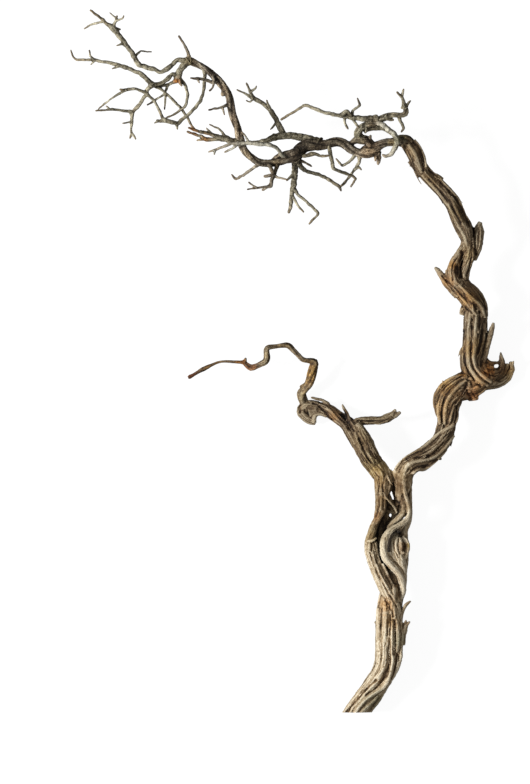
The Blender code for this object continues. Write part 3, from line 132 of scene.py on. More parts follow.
# Single strands, lumps, stubs and splinters of the limbs: x, y, z, diameter
STRANDS = {
    "left_strand": [
        (38, -48, 13, 6.4), (37.8, -53, 13, 6), (38, -58, 13, 5.8), (37.9, -62, 12.8, 5.4),
        (37, -66, 12.5, 4.4), (35.2, -70, 12.2, 3.7), (33.7, -74.5, 12.2, 3.8), (32.9, -79, 12.2, 4.4),
        (33.2, -83, 12.4, 4.8), (34.4, -87.5, 12.8, 5), (36.3, -92, 13.2, 5.2), (38.8, -97, 13.4, 5.4),
        (41.6, -101.8, 13.2, 5.4), (43.9, -106.6, 12.6, 4.8), (45, -112, 12.3, 4.2),
        (45.4, -118, 12, 3.8), (45.6, -124, 11.6, 3.6), (45.2, -130, 10.8, 3.4),
        (43.2, -135.5, 9.6, 3), (40.6, -140, 8.4, 2.4), (37.4, -143.6, 7.2, 1.6)],
    "brown_strand": [
        (35.3, -78, 12.4, 1.6), (36, -83, 12.6, 2), (37.4, -87.5, 13, 2), (39.4, -92, 13.2, 2),
        (41.6, -96.6, 13, 1.8), (43.8, -101.5, 12.6, 1.6), (45, -104.5, 12, 1.4)],
    "thin_strand": [
        (38.6, -87.5, 14.4, 1), (40.6, -91.8, 13.8, 1), (42.4, -96, 13.6, 1), (44.2, -100.3, 13.2, 1),
        (45.6, -103.6, 12.4, 1)],
    "cross_stub": [
        (31.9, -77.9, 13.6, 1.3), (34, -77.6, 14.5, 1.4), (35.9, -76.3, 14.4, 0.9)],
    "ribbon": [
        (47.2, -47, 16.4, 1.8), (47.4, -51, 16.4, 1.7), (48, -56, 16, 1.8), (49.2, -60, 15.2, 1.9),
        (50, -63, 14.4, 1.9), (49.9, -66, 14.2, 2), (48.6, -68.6, 14.8, 2.2), (46, -70.6, 15.6, 2.5),
        (43, -72.2, 16, 2.9), (40.7, -74.4, 16.2, 3.3), (39.2, -77.4, 16.2, 3.6), (38.8, -80.5, 16.2, 3.7),
        (39.2, -83.6, 16.1, 3.6), (40.5, -86.4, 15.9, 3.4), (42.4, -88.6, 15.5, 3.2),
        (44.6, -90.9, 14.8, 3.1), (46.3, -93.6, 14, 3.1), (47.3, -97, 13, 2.9), (47.5, -100, 12.2, 2.5),
        (46.8, -103, 11.6, 1.9)],
    "inner_strand": [
        (45, -47, 13.4, 5), (45.4, -52, 13.4, 4.2), (46.5, -57, 13, 3.8), (47.6, -61, 12.6, 3.6),
        (47.6, -64.6, 12.4, 3.4), (45.9, -67.6, 12.6, 3), (43, -70, 12.8, 2.6), (40.8, -72.8, 13, 2.4)],
    "right_edge": [
        (50, -49, 12.4, 3.4), (50.2, -55, 11.8, 2.8), (50.3, -61, 11.4, 2.6), (50.1, -66, 11.2, 2.8),
        (49.4, -70, 11, 3), (48, -74, 10.6, 3.4), (47.4, -79, 10, 5), (47.2, -85, 10, 5.4),
        (46.6, -91, 10, 5.2), (46.4, -97, 10, 4.8), (45.4, -102, 10, 5), (44.2, -107, 10.2, 6)],
    "back_left": [
        (41.5, -50, 10, 4.4), (40, -55, 9.2, 3.6), (39.2, -60, 8.6, 3.6), (38.7, -65, 8.2, 4.6),
        (38.4, -69, 8, 4.9), (37.2, -75, 8, 5.2), (37, -81, 8.2, 5.8), (38.4, -88, 8.6, 6.2),
        (40.5, -95, 9, 6.4), (42, -102, 9.6, 7)],
    "back_right": [
        (46.5, -52, 9.6, 4.8), (45.8, -58, 9, 4.4), (45, -63, 8.6, 4.4), (44.4, -67.5, 8.4, 4.2),
        (42.6, -71.5, 8.4, 5), (41.5, -77, 8.4, 6.2), (42, -84, 8.8, 6.8), (43, -91, 9, 6.8),
        (44, -98, 9.4, 6.6)],
    "left_shoulder": [
        (27.2, -26.6, 11.4, 3.4), (29.6, -30.6, 11.8, 5), (31.5, -34.4, 11.6, 5.6),
        (33.2, -38, 11.8, 5.6), (35.2, -41.6, 12, 5.2), (37.8, -45.4, 12.4, 4.8), (40, -48.8, 12.6, 4)],
    "gap_left": [(40.6, -61.4, 9.6, 1.6), (40.6, -65, 9.4, 1.7), (40.8, -69, 9, 1.8)],
    "gap_right": [(43.3, -62.4, 9.6, 1.5), (43.2, -66, 9.3, 1.6), (42.6, -69.6, 9, 1.8)],
    "gap_over": [(40, -64.6, 9.4, 2), (43.6, -65.2, 9.4, 2)],
    "gap_fill": [(44.8, -69.4, 9, 3), (45.9, -72.4, 9, 3.6), (46.4, -76, 9.2, 3.4)],
    "web": [
        (39.5, -52, 11.4, 4), (40, -56, 10.8, 2.9), (41.1, -59, 10.2, 2.7), (42.5, -61.6, 9.8, 2.7),
        (43.8, -64.4, 9.4, 2.6)],
    "inner_dark": [
        (43.6, -50, 11.6, 3), (43.8, -55.5, 11, 2.8), (44.6, -58.8, 10.4, 2.6), (45.3, -62, 10, 3)],
    "low_bridge": [
        (38.5, -59.5, 9.6, 3), (41, -62, 9.2, 3.4), (43.5, -64.6, 9, 3)],
    "thin_bridge": [
        (38.4, -57.6, 15.6, 1), (40.4, -59.4, 15.8, 1), (42.2, -61.4, 15.4, 1.1),
        (43.8, -63.4, 14.8, 1.1), (44.8, -65.6, 14, 1)],
    "knot_left": [
        (44.6, -74.6, 11.4, 3), (44, -77, 12.6, 4.4), (43.9, -79.6, 13.2, 5), (44.4, -82.8, 13.3, 5.4),
        (45.6, -86, 12.9, 5.8), (46.7, -89.4, 12.2, 5.2), (47, -93.6, 11.4, 4.2), (46.8, -98.4, 10.9, 3.9),
        (45.8, -103, 10.5, 3.8)],
    "knot_ring": [
        (45.7, -76.4, 13.6, 1.8), (46.6, -78.6, 14.4, 1.4), (46.5, -81, 14.6, 1.4),
        (47.3, -83.4, 14.2, 1.8)],
    "knot_rim": [
        (47, -76, 12.2, 1.8), (48.9, -78, 12.4, 2.3), (49.5, -80.4, 12.2, 2.3), (48.9, -83, 12.6, 2.4),
        (48, -85.4, 12.8, 2.6)],
    "cheek": [
        (41.4, -82.6, 15, 1.5), (42.9, -85.4, 15, 1.7), (45.1, -87.8, 14.5, 1.7), (47.4, -90.2, 13.4, 1.7),
        (48.3, -93.6, 12.2, 1.4)],
    "stub": [
        (46, -114, 11, 2.4), (46.8, -110.6, 11.6, 1.5), (47.5, -107.8, 12.2, 1.6),
        (48.7, -105.6, 12.8, 1.8), (50, -104.6, 13.4, 1.4), (50.8, -103.9, 13.6, 0.9)],
    "thick_stub": [
        (46.4, -123, 10.4, 4), (47, -118.8, 11, 3.8), (48, -115.6, 11.6, 3.2), (49, -113.8, 12.2, 2)],
    "stub_teeth": [
        (47.6, -115, 12.2, 1.7), (48.8, -112.2, 12.8, 0.9)],
    "stub_tooth": [
        (48.8, -114.6, 12.2, 1.7), (50.4, -112.8, 12.8, 0.9)],
    "left_nub": [
        (36.4, -114.4, 10.6, 2), (35, -112.9, 10.9, 0.9)],
    "knot_lump": [
        (72, -12, 8, 9), (76, -12.8, 7.6, 7.4), (77.8, -14.6, 7.4, 6.4), (78.2, -16.5, 7.2, 4.4)],
    "side_bump": [
        (60.2, -36, 12.6, 4.6), (57.9, -34.7, 12.8, 2.2)],
    "edge_flake": [
        (61.5, -41, 11.6, 3), (64.3, -42.2, 11.8, 1)],
    "hook": [
        (80, -9, 7, 8.6), (83.5, -8.6, 5, 7.2), (86.8, -8.6, 3.2, 5.8), (90, -8, 2.4, 5),
        (93, -6, 2.8, 4.4), (94.4, -3.4, 3.4, 3.8), (94.7, -1.2, 4, 2.8), (94.5, 0.4, 4.6, 1.4)],
    "hook_inner": [
        (88.5, -6.6, 4, 2.8), (90.8, -4.6, 4.8, 2.2), (92.2, -2.6, 5.2, 1.8), (93.2, -0.4, 5.4, 1.1)],
    "hook_teeth": [
        (95, -2, 4.4, 1.8), (95.8, 0.9, 5.2, 0.7)],
    "burl_shard": [
        (84, -5.4, 6.4, 6.4), (87, -4.8, 5.6, 5.6), (89.6, -3.8, 5.4, 4), (90.6, -1.8, 5.6, 3.2),
        (90.6, 0.6, 6, 3), (90.2, 2.8, 6.2, 1.9), (90.1, 4.7, 6.4, 0.7)],
    "burl_base": [(75, -7, 6.2, 8.4), (79, -7.6, 6, 8.6), (83, -8, 4.8, 7)],
    "burl_fill": [
        (81.5, -1, 8, 5.4), (84.5, -1.8, 7, 4), (87, -1.7, 6, 2.4)],
    "burl_loop": [
        (81.6, 4, 9, 2.8), (83, 1.6, 8.4, 2.6), (85, 0, 7.6, 2.2), (87.2, -0.1, 6.6, 1.6),
        (89.4, 0, 6.2, 1.4)],
    "flat_spur": [
        (82, 0.5, 9, 3.4), (83.3, 4, 9.6, 3.2), (84.4, 8, 10.2, 2.9), (85.4, 12, 10.8, 2.7),
        (86.3, 15.4, 11.4, 2.2), (86.9, 17.5, 11.8, 1.2)],
    "spur_shard": [
        (81.4, 7, 11.6, 2.2), (82.2, 11, 12, 2), (82.6, 14.6, 12.4, 1.4), (82.5, 17.2, 12.8, 0.7)],
    "limb_knob": [
        (75.6, 25, 12, 4.6), (73.8, 23, 12, 3.8), (73.2, 20.8, 11.6, 2.6)],
    "left_splinter": [
        (72, 30, 13.2, 5.6), (69.4, 32.6, 13.8, 5.2), (67, 34.9, 14.2, 4.5), (65.2, 36.9, 14.6, 3.7),
        (63.6, 38.9, 15, 2.9), (62.3, 40.5, 15.4, 2.2), (61.1, 41.5, 15.8, 1)],
    "small_splinter": [
        (67.2, 35.5, 15, 2), (66.4, 38, 15.6, 1.4), (66, 40.5, 16.2, 0.7)],
    "crossing_right": [
        (75.4, 29.5, 12.8, 7.4), (73.9, 33.5, 13.2, 6.6), (73.5, 36.8, 13.4, 5.2), (74.4, 40.2, 14, 4.9),
        (75.4, 43.6, 14.2, 5), (76.3, 47, 14.6, 5.6), (76.2, 51, 15, 5.8), (75.6, 54, 15.2, 6.4)],
    "crossing_left": [
        (73.5, 30.5, 13.6, 7.4), (70.8, 34.5, 14.6, 6.6), (69.4, 38, 15.2, 5.8), (69.3, 41.5, 15.4, 5.2),
        (70.4, 44.6, 15.6, 4.6), (72.2, 47.6, 15.8, 4.2), (73.9, 50.5, 16, 3.8), (74.6, 54, 16.4, 3.6)],
    "crossing_fill": [
        (72, 35, 12.4, 5), (72, 41, 12.6, 4.6), (73.6, 47, 13.2, 4.6)],
    "shoulder_stub": [
        (77.6, 45, 13.6, 4), (79, 48.5, 13.8, 4.4), (79.9, 52, 14.2, 4.8), (80.3, 56, 14.6, 4.9),
        (80.5, 59, 15, 4), (81.1, 61.4, 15.3, 1.9)],
    "step": [
        (63.5, 78.6, 21.2, 5), (60.6, 81.3, 21.6, 4)],
    "shoulder_sliver": [
        (52.6, 83.6, 22, 1.8), (53.6, 80.4, 22.2, 0.8), (55.3, 77.5, 22.6, 0.6)],
    "knob": [
        (10.5, -19.4, 3.4, 5.4), (7, -19, 3, 5.6), (4, -19.4, 2.5, 5.2), (3.2, -21.4, 2.2, 4.5),
        (4.8, -23.5, 2.2, 4.4), (7.4, -24.9, 2.4, 4.4), (9.4, -25.2, 2.8, 3.8)],
    "knob_hook": [
        (14, -22.8, 4.4, 2.8), (11.6, -22.3, 5.2, 2.2), (9.6, -22.6, 5.2, 2), (8.8, -24, 4.8, 2),
        (8.5, -26, 3.6, 2.4)],
    "knob_fill": [
        (10, -20.4, 3.6, 5.6), (6.4, -21.4, 3.2, 5.4)],
    "slant_spur": [
        (25, -27.8, 9, 3), (24, -24.8, 9.6, 2.1), (22.8, -22, 10.6, 1.8), (21.6, -19.8, 11.6, 1.5),
        (20.9, -18.2, 12.2, 1)],
    "sliver": [
        (15, -18.4, 4.8, 2.2), (12.4, -16.4, 5.4, 1.3), (9.6, -15.8, 5.8, 1.3), (7.2, -15.1, 6.4, 0.9)],
    "broken_branch": [
        (26, -28.5, 8.4, 5), (27, -26.4, 8.9, 4.4), (29.4, -25.5, 9.4, 4.1), (33, -25.4, 10.2, 4.1),
        (37, -25.2, 11, 4), (40.4, -24.2, 12, 4.1), (42.6, -22.7, 12.8, 3), (44.2, -20.3, 13.4, 1)],
    "broken_tip": [
        (41.2, -24.2, 12.2, 3.2), (44, -22.9, 12.6, 2.4), (46.4, -21.5, 13, 1.2)],
}

# Twigs: name, what each grows from, rise over its base at even steps along it, and its route
# as x, y with a diameter where it changes
TWIGS = [
    ("left_twig", "knob", (0, 4, 7, 10, 11, 8, 6, 4, 3), [
        (4.5, -18, 4.15), (3.6, -15.6, 4.39), (3.2, -13.4, 4.64), (4.8, -11, 4.15), (6.6, -8.4, 4.15),
        (7.6, -5, 4.15), (8.5, -1.6, 4.03), (8.8, 0.2, 3.66), (6.6, 0.9, 2.81), (3.6, 1.4, 2.68),
        (1.6, 3.2, 2.56), (-0.4, 5.2, 2.56), (-2.6, 7.4, 2.81), (-5.5, 7.5, 2.44), (-9, 7, 2.44),
        (-11.6, 6.4, 2.81), (-12, 4.4, 2.81), (-11.8, 2.2, 3.05), (-12.6, 0.4, 3.05),
        (-14.6, -0.6, 2.81), (-16.8, -1.6, 2.93), (-18.6, -2.2, 3.29), (-20.4, -1.3, 2.93),
        (-22, -0.1, 2.2), (-24, 0.2, 1.71), (-27, 0.4, 1.46), (-30, 0.6, 1.34), (-33, 0.2, 1.34),
        (-35.5, -0.8, 1.59), (-38, -2, 2.2), (-40, -2.9, 2.2), (-42, -4, 1.71), (-44, -5.2, 1.59),
        (-45.6, -6.1, 1.95), (-46.4, -6.5, 1.46)]),
    ("left_twig_spur", "left_twig", (0, 1.2), [(-21.8, 0.2, 1.5), (-21.2, 2.1, 0.9)]),
    ("left_twig_stub", "left_twig", (0, -1.5), [(4.8, -10.2, 1.8), (2.3, -10.4, 1.2)]),
    ("crown", None, (22.9, 23.7, 24.9, 25.9, 27, 28.6, 30.5, 32.3, 33, 33.6, 34.3, 35), [
        (50.5, 94.5, 5.4), (48.8, 96.2, 5.8), (46, 96.5, 5.6), (43, 96.1, 4.6), (40, 95.7, 4.2),
        (37, 94.5, 4.4), (34, 92.5, 5.6), (31.5, 91.8, 6.2), (29, 91.3, 4.8), (26.5, 91.8, 4.2),
        (24, 92.9, 4.9), (22, 94.6, 4.4), (19.8, 95.7, 4.3), (17, 95.8, 4.5), (14, 95, 4.9),
        (11, 94.4, 5.5), (8, 94.2, 5.7), (5, 94, 5.6), (2.5, 92.4, 6), (0.3, 90.2, 6.8),
        (-2.5, 88.8, 5.6), (-6, 87.6, 4.6), (-9, 86.8, 3.9), (-12, 86.6, 3.8), (-15, 86.8, 3.8),
        (-18, 88.2, 3.8), (-20.8, 91, 3.6), (-22.6, 94.2, 3.7), (-23.9, 98, 4), (-25, 102, 3.8),
        (-26.2, 106, 3.7), (-27.2, 110, 3.7), (-28, 114, 4), (-29.3, 117.4, 4.2), (-31.3, 120.6, 4),
        (-34.8, 124.4, 3.6), (-38.5, 127.4, 3.4), (-42, 129.5, 3.5), (-45.8, 131.2, 3.8)]),
    ("crown_ridge", "crown", (1.5, 2, 1.4), [
        (1.5, 92.2, 2.25), (-3, 91, 2), (-6.5, 90.1, 1.9), (-9.8, 87.6, 1.9)]),
    ("crown_lump", "crown", (0, 0.7, 0.9, 1, 0.9, 0.8), [
        (33.5, 93.8, 4.6), (31.8, 96.4, 4.2), (29.3, 97, 4.6), (27, 97, 4.4), (25, 95.6, 2.8),
        (23.2, 94.4, 2.6)]),
    ("crown_nub", "crown_lump", (0, 1), [(32.4, 96.8, 1.6), (33.2, 99, 1)]),
    ("hanging_stub", "crown", (0, -2, -3), [(35.6, 93, 2.8), (36.9, 89, 1.7), (36.4, 86, 1)]),
    ("hanging_stub_short", "crown", (0, -1), [(35, 91.4, 1.6), (35.5, 87.6, 1)]),
    ("elbow_stub", "crown", (0, 1), [(-30, 118.4, 2.25), (-31.4, 115.9, 1.65)]),
    ("elbow_twig", "crown", (0, 3, 5), [
        (-28, 112.4, 1.4), (-31, 111.1, 1.1), (-33.5, 110.3), (-37.5, 109.5, 0.75)]),
    ("elbow_twig_fork", "elbow_twig", (0, 2), [(-31.4, 110.8, 0.85), (-30.3, 107.2, 0.6)]),
    ("inner_spur", "crown", (0, 3, 6), [
        (-33.2, 122.5, 1.9), (-35.5, 121.5, 1.4), (-38, 122.3), (-42.5, 123.2), (-45.2, 123.3, 0.85)]),
    ("inner_spur_hook", "inner_spur", (0, 1.5), [(-42, 123.1, 0.85), (-41.2, 121, 0.75)]),
    ("inner_spur_strand", "crown", (0, 3, 4), [
        (-35.6, 125.4, 1.5), (-35, 121.3, 1), (-35.3, 119.4), (-37, 117.5, 0.75)]),
    ("top_spur", "crown", (0, 3, 5), [(-45.4, 131.2, 1.75), (-47, 136.5, 1.1), (-50.3, 141.8, 0.85)]),
    ("outer_twig", "crown", (0, 1, 3, 6, 9, 13, 17), [
        (-45, 131.4, 2.25), (-48.5, 131.3, 1.75), (-50.8, 131.3), (-52.5, 129.8), (-55, 127.6),
        (-57, 126.3), (-58.5, 125.9), (-60, 126.8), (-64, 128), (-66.8, 128.8, 1.75),
        (-68.5, 130.5), (-70.5, 134.2), (-73, 137.5, 1.9), (-75.5, 141), (-78.2, 144.2, 2.15),
        (-79, 145.2, 2.25), (-81, 146.3, 1.65), (-83, 148.3, 1.25), (-86, 150.6, 1),
        (-88.6, 152.6, 0.75)]),
    ("outer_twig_a", "outer_twig", (0, -1, -3), [
        (-82.4, 147.6, 1), (-87.5, 146.5, 0.85), (-91.4, 144.5, 0.75)]),
    ("outer_twig_b", "outer_twig", (0, 2, 3), [
        (-78.7, 145, 1.5), (-77.5, 147.5, 1), (-76.7, 150.3, 0.75)]),
    ("outer_twig_c", "outer_twig_b", (0, 1, 2), [
        (-77.4, 147.8, 0.85), (-74.5, 148.8, 0.75), (-73.7, 150.3, 0.6)]),
    ("outer_twig_d", "outer_twig", (0, -2), [(-78.2, 145, 1.1), (-75.3, 144.1, 0.75)]),
    ("outer_twig_e", "outer_twig", (0, 2), [(-73.6, 138.3, 1), (-77.2, 137.2, 0.6)]),
    ("outer_twig_f", "outer_twig", (0, -2, -3, -4), [
        (-69.2, 132.6, 1), (-66.6, 135.2, 0.75), (-64, 134.7), (-61.7, 134.7, 0.6)]),
    ("outer_twig_g", "outer_twig_b", (0, 1), [(-77.2, 149, 0.75), (-80.3, 151.4, 0.6)]),
    ("knob_twig", "crown", (0, -1, -2), [
        (-45.6, 131, 2.5), (-48.5, 128.5, 2.25), (-49.8, 126.5, 2.25), (-50.6, 124.5, 2.5),
        (-51.2, 122.4, 2.75)]),
    ("knob_band", "knob_twig", (0, 1.5, 3), [
        (-50.6, 124.6, 2), (-53, 125, 1.65), (-55, 123, 1.65), (-58, 121, 1.65),
        (-60.5, 120.5, 1.75), (-62.6, 120.2, 1.9)]),
    ("knob_band_low", "knob_twig", (0, -1, 2), [
        (-51, 122.6, 1.75), (-54.5, 120.8, 1.1), (-58, 119.9, 1.1), (-61.5, 120.1, 1.1)]),
    ("knob_stub", "knob_twig", (0, 1), [(-50.4, 123.5, 1.4), (-48.7, 119.9, 1)]),
    ("knob_arc", "knob_twig", (0, -1, -3, -3, -2), [
        (-50.4, 123.8, 1.5), (-48.2, 121.5, 1.25), (-47.3, 119.8), (-46.4, 116.5),
        (-46.8, 113, 1.1), (-47.5, 111.5), (-49, 110.1), (-51, 108.8), (-53, 107.6, 0.85),
        (-55.8, 106.2, 0.75)]),
    ("long_twig", "knob_band", (0, -1, -3, -5, -8), [
        (-61.6, 120.2, 2), (-63, 121.8, 1.9), (-65, 123.8), (-67, 125.5, 1.65), (-70, 126.7),
        (-73, 128, 1.65), (-76, 129), (-80, 130.2, 1.4), (-84, 130.8), (-87, 131.4, 1.1),
        (-92, 131.6), (-94.8, 131.7, 0.85), (-96.2, 133), (-97.3, 136, 0.6)]),
    ("long_twig_a", "long_twig", (0, 2, 4), [
        (-87, 131.4, 1.1), (-88.6, 133.2, 0.85), (-89, 135.6, 0.75)]),
    ("long_twig_b", "long_twig", (0, -1.5), [(-86.8, 131.3, 0.85), (-88.6, 129.2, 0.6)]),
    ("long_twig_c", "long_twig", (0, 1.5), [(-76, 129, 1), (-79.2, 127.3, 0.6)]),
    ("drooping_twig", "knob_band", (0, -1, -3, -5), [
        (-62, 120.3, 1.75), (-63.8, 118.5, 1.5), (-64.3, 116.5), (-66, 114), (-68, 111.3),
        (-69.8, 109.2), (-70.7, 108.4, 1.4)]),
    ("droop_tip", "drooping_twig", (0, -3, -6), [
        (-70.6, 108.6, 1.4), (-70.6, 105, 1.1), (-71, 101.5), (-71, 99.5, 1), (-71.6, 97.4, 0.75)]),
    ("droop_tip_fork", "droop_tip", (0, 1), [(-71, 99.8, 1), (-69.6, 98.2), (-68.8, 97, 0.6)]),
    ("droop_spur", "droop_tip", (0, 2), [(-70.6, 104.6, 0.85), (-74.8, 103.9, 0.6)]),
    ("droop_left", "drooping_twig", (0, 3, 6, 8), [
        (-70.4, 108.7, 1.25), (-73, 109.2, 1.1), (-79, 109.7, 1), (-86.5, 109.2, 0.75)]),
    ("droop_left_spur", "droop_left", (0, 2), [(-80, 109.6, 0.75), (-81.9, 111.4, 0.6)]),
    ("droop_high", "drooping_twig", (0, 3, 5), [
        (-64.2, 116.9, 1.4), (-67.5, 118.2, 1.25), (-69.5, 118.8), (-73.5, 118.3, 1.1),
        (-76, 118.4, 0.85)]),
    ("droop_high_low", "droop_high", (0, 0, -2, -4), [
        (-73, 118.3, 1), (-77.5, 115.6, 0.85), (-82, 112.7, 0.75), (-84.8, 110.3),
        (-85.5, 109.2, 0.6)]),
    ("droop_inner", "drooping_twig", (0, -3, -5), [
        (-64.1, 116.5, 1.25), (-61, 113.7, 1.1), (-59.8, 111.8), (-58.5, 109, 1.25),
        (-56.8, 105.2, 1.4)]),
    ("cross_twig", "knob_band_low", (0, -3, -6, -8), [
        (-60.5, 120.1, 1.25), (-57.5, 118.3, 1.1), (-54, 115.3), (-51, 112.2), (-49, 110.1),
        (-46.8, 106.8), (-45.5, 104.5, 1), (-44.3, 102.5), (-42.5, 100.4, 0.85)]),
    ("cross_twig_a", "knob_band_low", (0, -2, -3), [
        (-55, 120.6, 1), (-56.2, 117.2, 1), (-58.5, 115.2), (-64.2, 111.8, 0.75)]),
    ("cross_twig_b", "cross_twig", (0, -3), [(-56, 117, 0.85), (-56.2, 112.6), (-56.4, 109.7, 0.75)]),
    ("hanging_twig", "crown", (0, 0.3, 2, 2, 3, 4), [
        (-39, 128, 2), (-39, 124.5, 1.4), (-39.4, 119, 1.25), (-39.9, 116), (-41, 113.5),
        (-42.8, 111), (-45, 108.5, 1.25), (-47.8, 106.2), (-49.8, 104.5), (-51, 103.7, 1.4),
        (-54, 104.4, 1.65), (-56.5, 105, 2), (-58.5, 104.8, 1.25), (-60, 105.1, 1)]),
    ("hanging_twig_fork", "hanging_twig", (0, 1), [(-58.8, 104.8, 0.85), (-61, 103.7, 0.6)]),
    ("hanging_twig_spur", "hanging_twig", (0, -2), [(-51.2, 103.8, 1.1), (-50.7, 101, 0.6)]),
    ("claw_twig", "crown", (0, 1, 2), [
        (-23.4, 95.8, 2.75), (-27, 96, 2.25), (-29.5, 97, 2.5), (-31.7, 97.5, 2)]),
    ("claw_upper", "claw_twig", (0, 4, 7), [
        (-31, 97.4, 2), (-34, 98.3, 1.5), (-36.5, 99.2), (-41, 100.2, 1.25), (-46.2, 101.8, 0.85)]),
    ("claw_lower", "claw_twig", (0, -1, -2), [
        (-31, 97.3, 1.75), (-36, 97, 1.5), (-38.8, 97, 1.75), (-41, 98.4, 1.25),
        (-46.8, 100.4, 0.85)]),
    ("claw_spur", "claw_lower", (0, -1), [(-39, 97.2, 1.1), (-42.5, 96.4, 0.75)]),
    ("claw_top", "claw_twig", (0, 3, 5), [
        (-29.4, 97.2, 1.25), (-31.5, 100.2, 0.85), (-34, 102), (-37, 103.3, 0.6)]),
    ("claw_top_b", "claw_upper", (0, 2), [(-36, 99.2, 1), (-38.2, 101.9, 0.6)]),
    ("pale_twig", "crown", (0, 6, 8, 8, 8, 7), [
        (-4, 88.6, 1.7), (-6.5, 91.5, 1.4), (-7.8, 93.2), (-9.8, 94.1), (-12, 94.5, 1.49),
        (-15, 94.8), (-19, 95.2, 1.7), (-22, 95), (-25, 95, 1.49), (-27.5, 95), (-31, 93.4, 1.06),
        (-34, 92.5), (-37.5, 91.2, 0.64)]),
    ("pale_twig_spur", "pale_twig", (0, -1), [(-34.5, 92.4, 1), (-35, 90.1, 0.75)]),
    ("pale_twig_low", "pale_twig", (0, -1.5), [(-24.4, 95, 1.1), (-27, 92.9), (-30.5, 91.2, 0.75)]),
    ("pale_twig_curve", "pale_twig", (0, 3), [(-19.6, 95.2, 1), (-21.5, 98.5), (-23, 100, 0.6)]),
    ("middle_twig", "crown", (0, -3, -5, -6, -7), [
        (11, 95.4, 3.2), (6, 97.5, 2.65), (2, 98.3), (-2, 98.9, 2.75), (-6, 98.7, 2.65),
        (-9, 98, 2.5), (-12, 96.6, 2.15), (-15, 95.8, 1.9), (-18, 95.8), (-20.8, 96, 1.1)]),
    ("rising_twig", "middle_twig", (0, -2, -3, -4), [
        (-4.9, 98.8, 2.5), (-5.5, 101, 2.15), (-7.5, 105, 2), (-8.8, 107.5), (-10.5, 110),
        (-12.5, 112), (-14.5, 113.5), (-18.4, 115.4, 1.65)]),
    ("rising_tip_a", "rising_twig", (0, 1), [
        (-18, 115.2, 1.5), (-20, 116.5, 1.1), (-22, 117.6), (-25.3, 118.8, 0.6)]),
    ("rising_tip_b", "rising_twig", (0, 3, 5), [
        (-18.2, 115.3, 1.4), (-19.5, 118.3, 1.1), (-20.9, 121.8, 0.75)]),
    ("rising_tip_c", "rising_tip_b", (0, 1), [
        (-19.2, 117.9, 1), (-17, 119.3, 0.75), (-16.6, 120.5, 0.6)]),
    ("rising_tip_d", "rising_twig", (0, -2), [
        (-17.8, 115.2, 1), (-19.3, 113.6, 0.75), (-21.2, 114.5, 0.6)]),
    ("rising_spur", "rising_twig", (0, 2), [(-10.3, 109.8, 1.1), (-12.2, 114.5, 0.75)]),
    ("rising_low_spur", "rising_twig", (0, -2), [(-7.4, 104.9, 1.1), (-10.5, 101.4, 0.6)]),
    ("arching_limb", "crown_lump", (0, 2, 4, 6), [
        (29.5, 97, 4), (27.7, 99, 4), (28.6, 101.6, 3.8), (31, 103.4, 3.4), (34, 104.3, 3.2),
        (37, 105.6, 3), (40, 106.8, 3.2), (43, 107.6, 2.9), (46, 107.6, 2.8), (48, 108.2, 3),
        (48.3, 109.8, 2.6), (47.6, 111.2, 2.3)]),
    ("arching_inner", "arching_limb", (0, -1.5, -2, -2.5), [
        (30.4, 101.6, 2.4), (33, 102, 2.2), (36, 102.3, 2), (38.6, 101.8, 1.8), (40.8, 100.7, 1.6),
        (42.6, 99.2, 1.4)]),
    ("arching_tip_a", "arching_limb", (0, 2, 4), [
        (47.8, 110.8, 2.25), (47.2, 113.4, 1.4), (46.7, 114.8), (44.3, 117.4, 1)]),
    ("arching_tip_b", "arching_tip_a", (0, 1), [(46.6, 114.8, 1.1), (46.9, 117), (47.4, 118.9, 0.75)]),
    ("arching_tip_c", "arching_limb", (0, 1), [
        (47.8, 110.6, 1.75), (49.4, 112.4, 1.1), (50.6, 113.9, 0.75)]),
    ("arching_stub", "arching_limb", (0, 1), [(39.6, 107, 2.5), (41.5, 105.6, 1.5), (43.3, 105.5, 1)]),
    ("arching_hanging", "arching_limb", (0, -2, -2), [
        (45, 107.9, 1.5), (46.8, 103.5, 1.1), (47.5, 101.8), (46.3, 99.9, 0.85)]),
    ("looping_twig", "arching_limb", (0, 2, 1, 0, -2), [
        (35, 105, 1.85), (38.3, 103.3, 1.76), (41, 101.3, 1.76), (43, 99.6, 1.85), (44.3, 97.8, 2.1),
        (44.6, 96, 2.18), (43.8, 93.6, 1.85), (42.8, 91.6, 1.6), (41.4, 90.2, 1.43), (39.8, 89.8, 1.18),
        (38.2, 90.5, 1.01)]),
    ("roof_twig", "arching_limb", (0, 3, 5, 5, 3, 1), [
        (36, 106, 2.6), (32.5, 105.9, 2.3), (29, 106, 2), (26, 106.4, 1.9), (23, 106.8, 1.7),
        (20, 107.2, 1.5), (17, 107.7, 1.5), (14, 108.4, 1.4), (11, 109.2, 1.4), (8, 110.4, 1.3),
        (5.5, 111.6, 1.2), (4, 111.6, 1.1), (0, 109, 1.1), (-3, 107.3, 1.05), (-6, 105.2, 0.9)]),
    ("roof_twig_curl", "roof_twig", (0, 1.5, 0), [
        (20.4, 107.4, 1.4), (22.7, 109.1, 1.6), (24.8, 106.9, 1.3)]),
    ("roof_twig_a", "roof_twig", (0, 2, 5), [
        (24.8, 106.8, 1.25), (25.5, 109.5, 1), (28.3, 111.5), (28, 112.8), (27.2, 114.8, 0.75)]),
    ("roof_twig_b", "roof_twig", (0, -3), [(21.8, 107, 1.1), (22, 104), (23.4, 101.2, 0.75)]),
    ("roof_twig_c", "roof_twig", (0, -2), [(25, 106.5, 1.1), (26.5, 104), (28.3, 101.8, 1)]),
    ("low_twig", "crown", (0, 2, -1, -5, -8, -10), [
        (13.5, 96, 2.25), (15, 94, 1.65), (15.8, 90, 1.5), (16.8, 85, 1.5), (18, 84, 1.4),
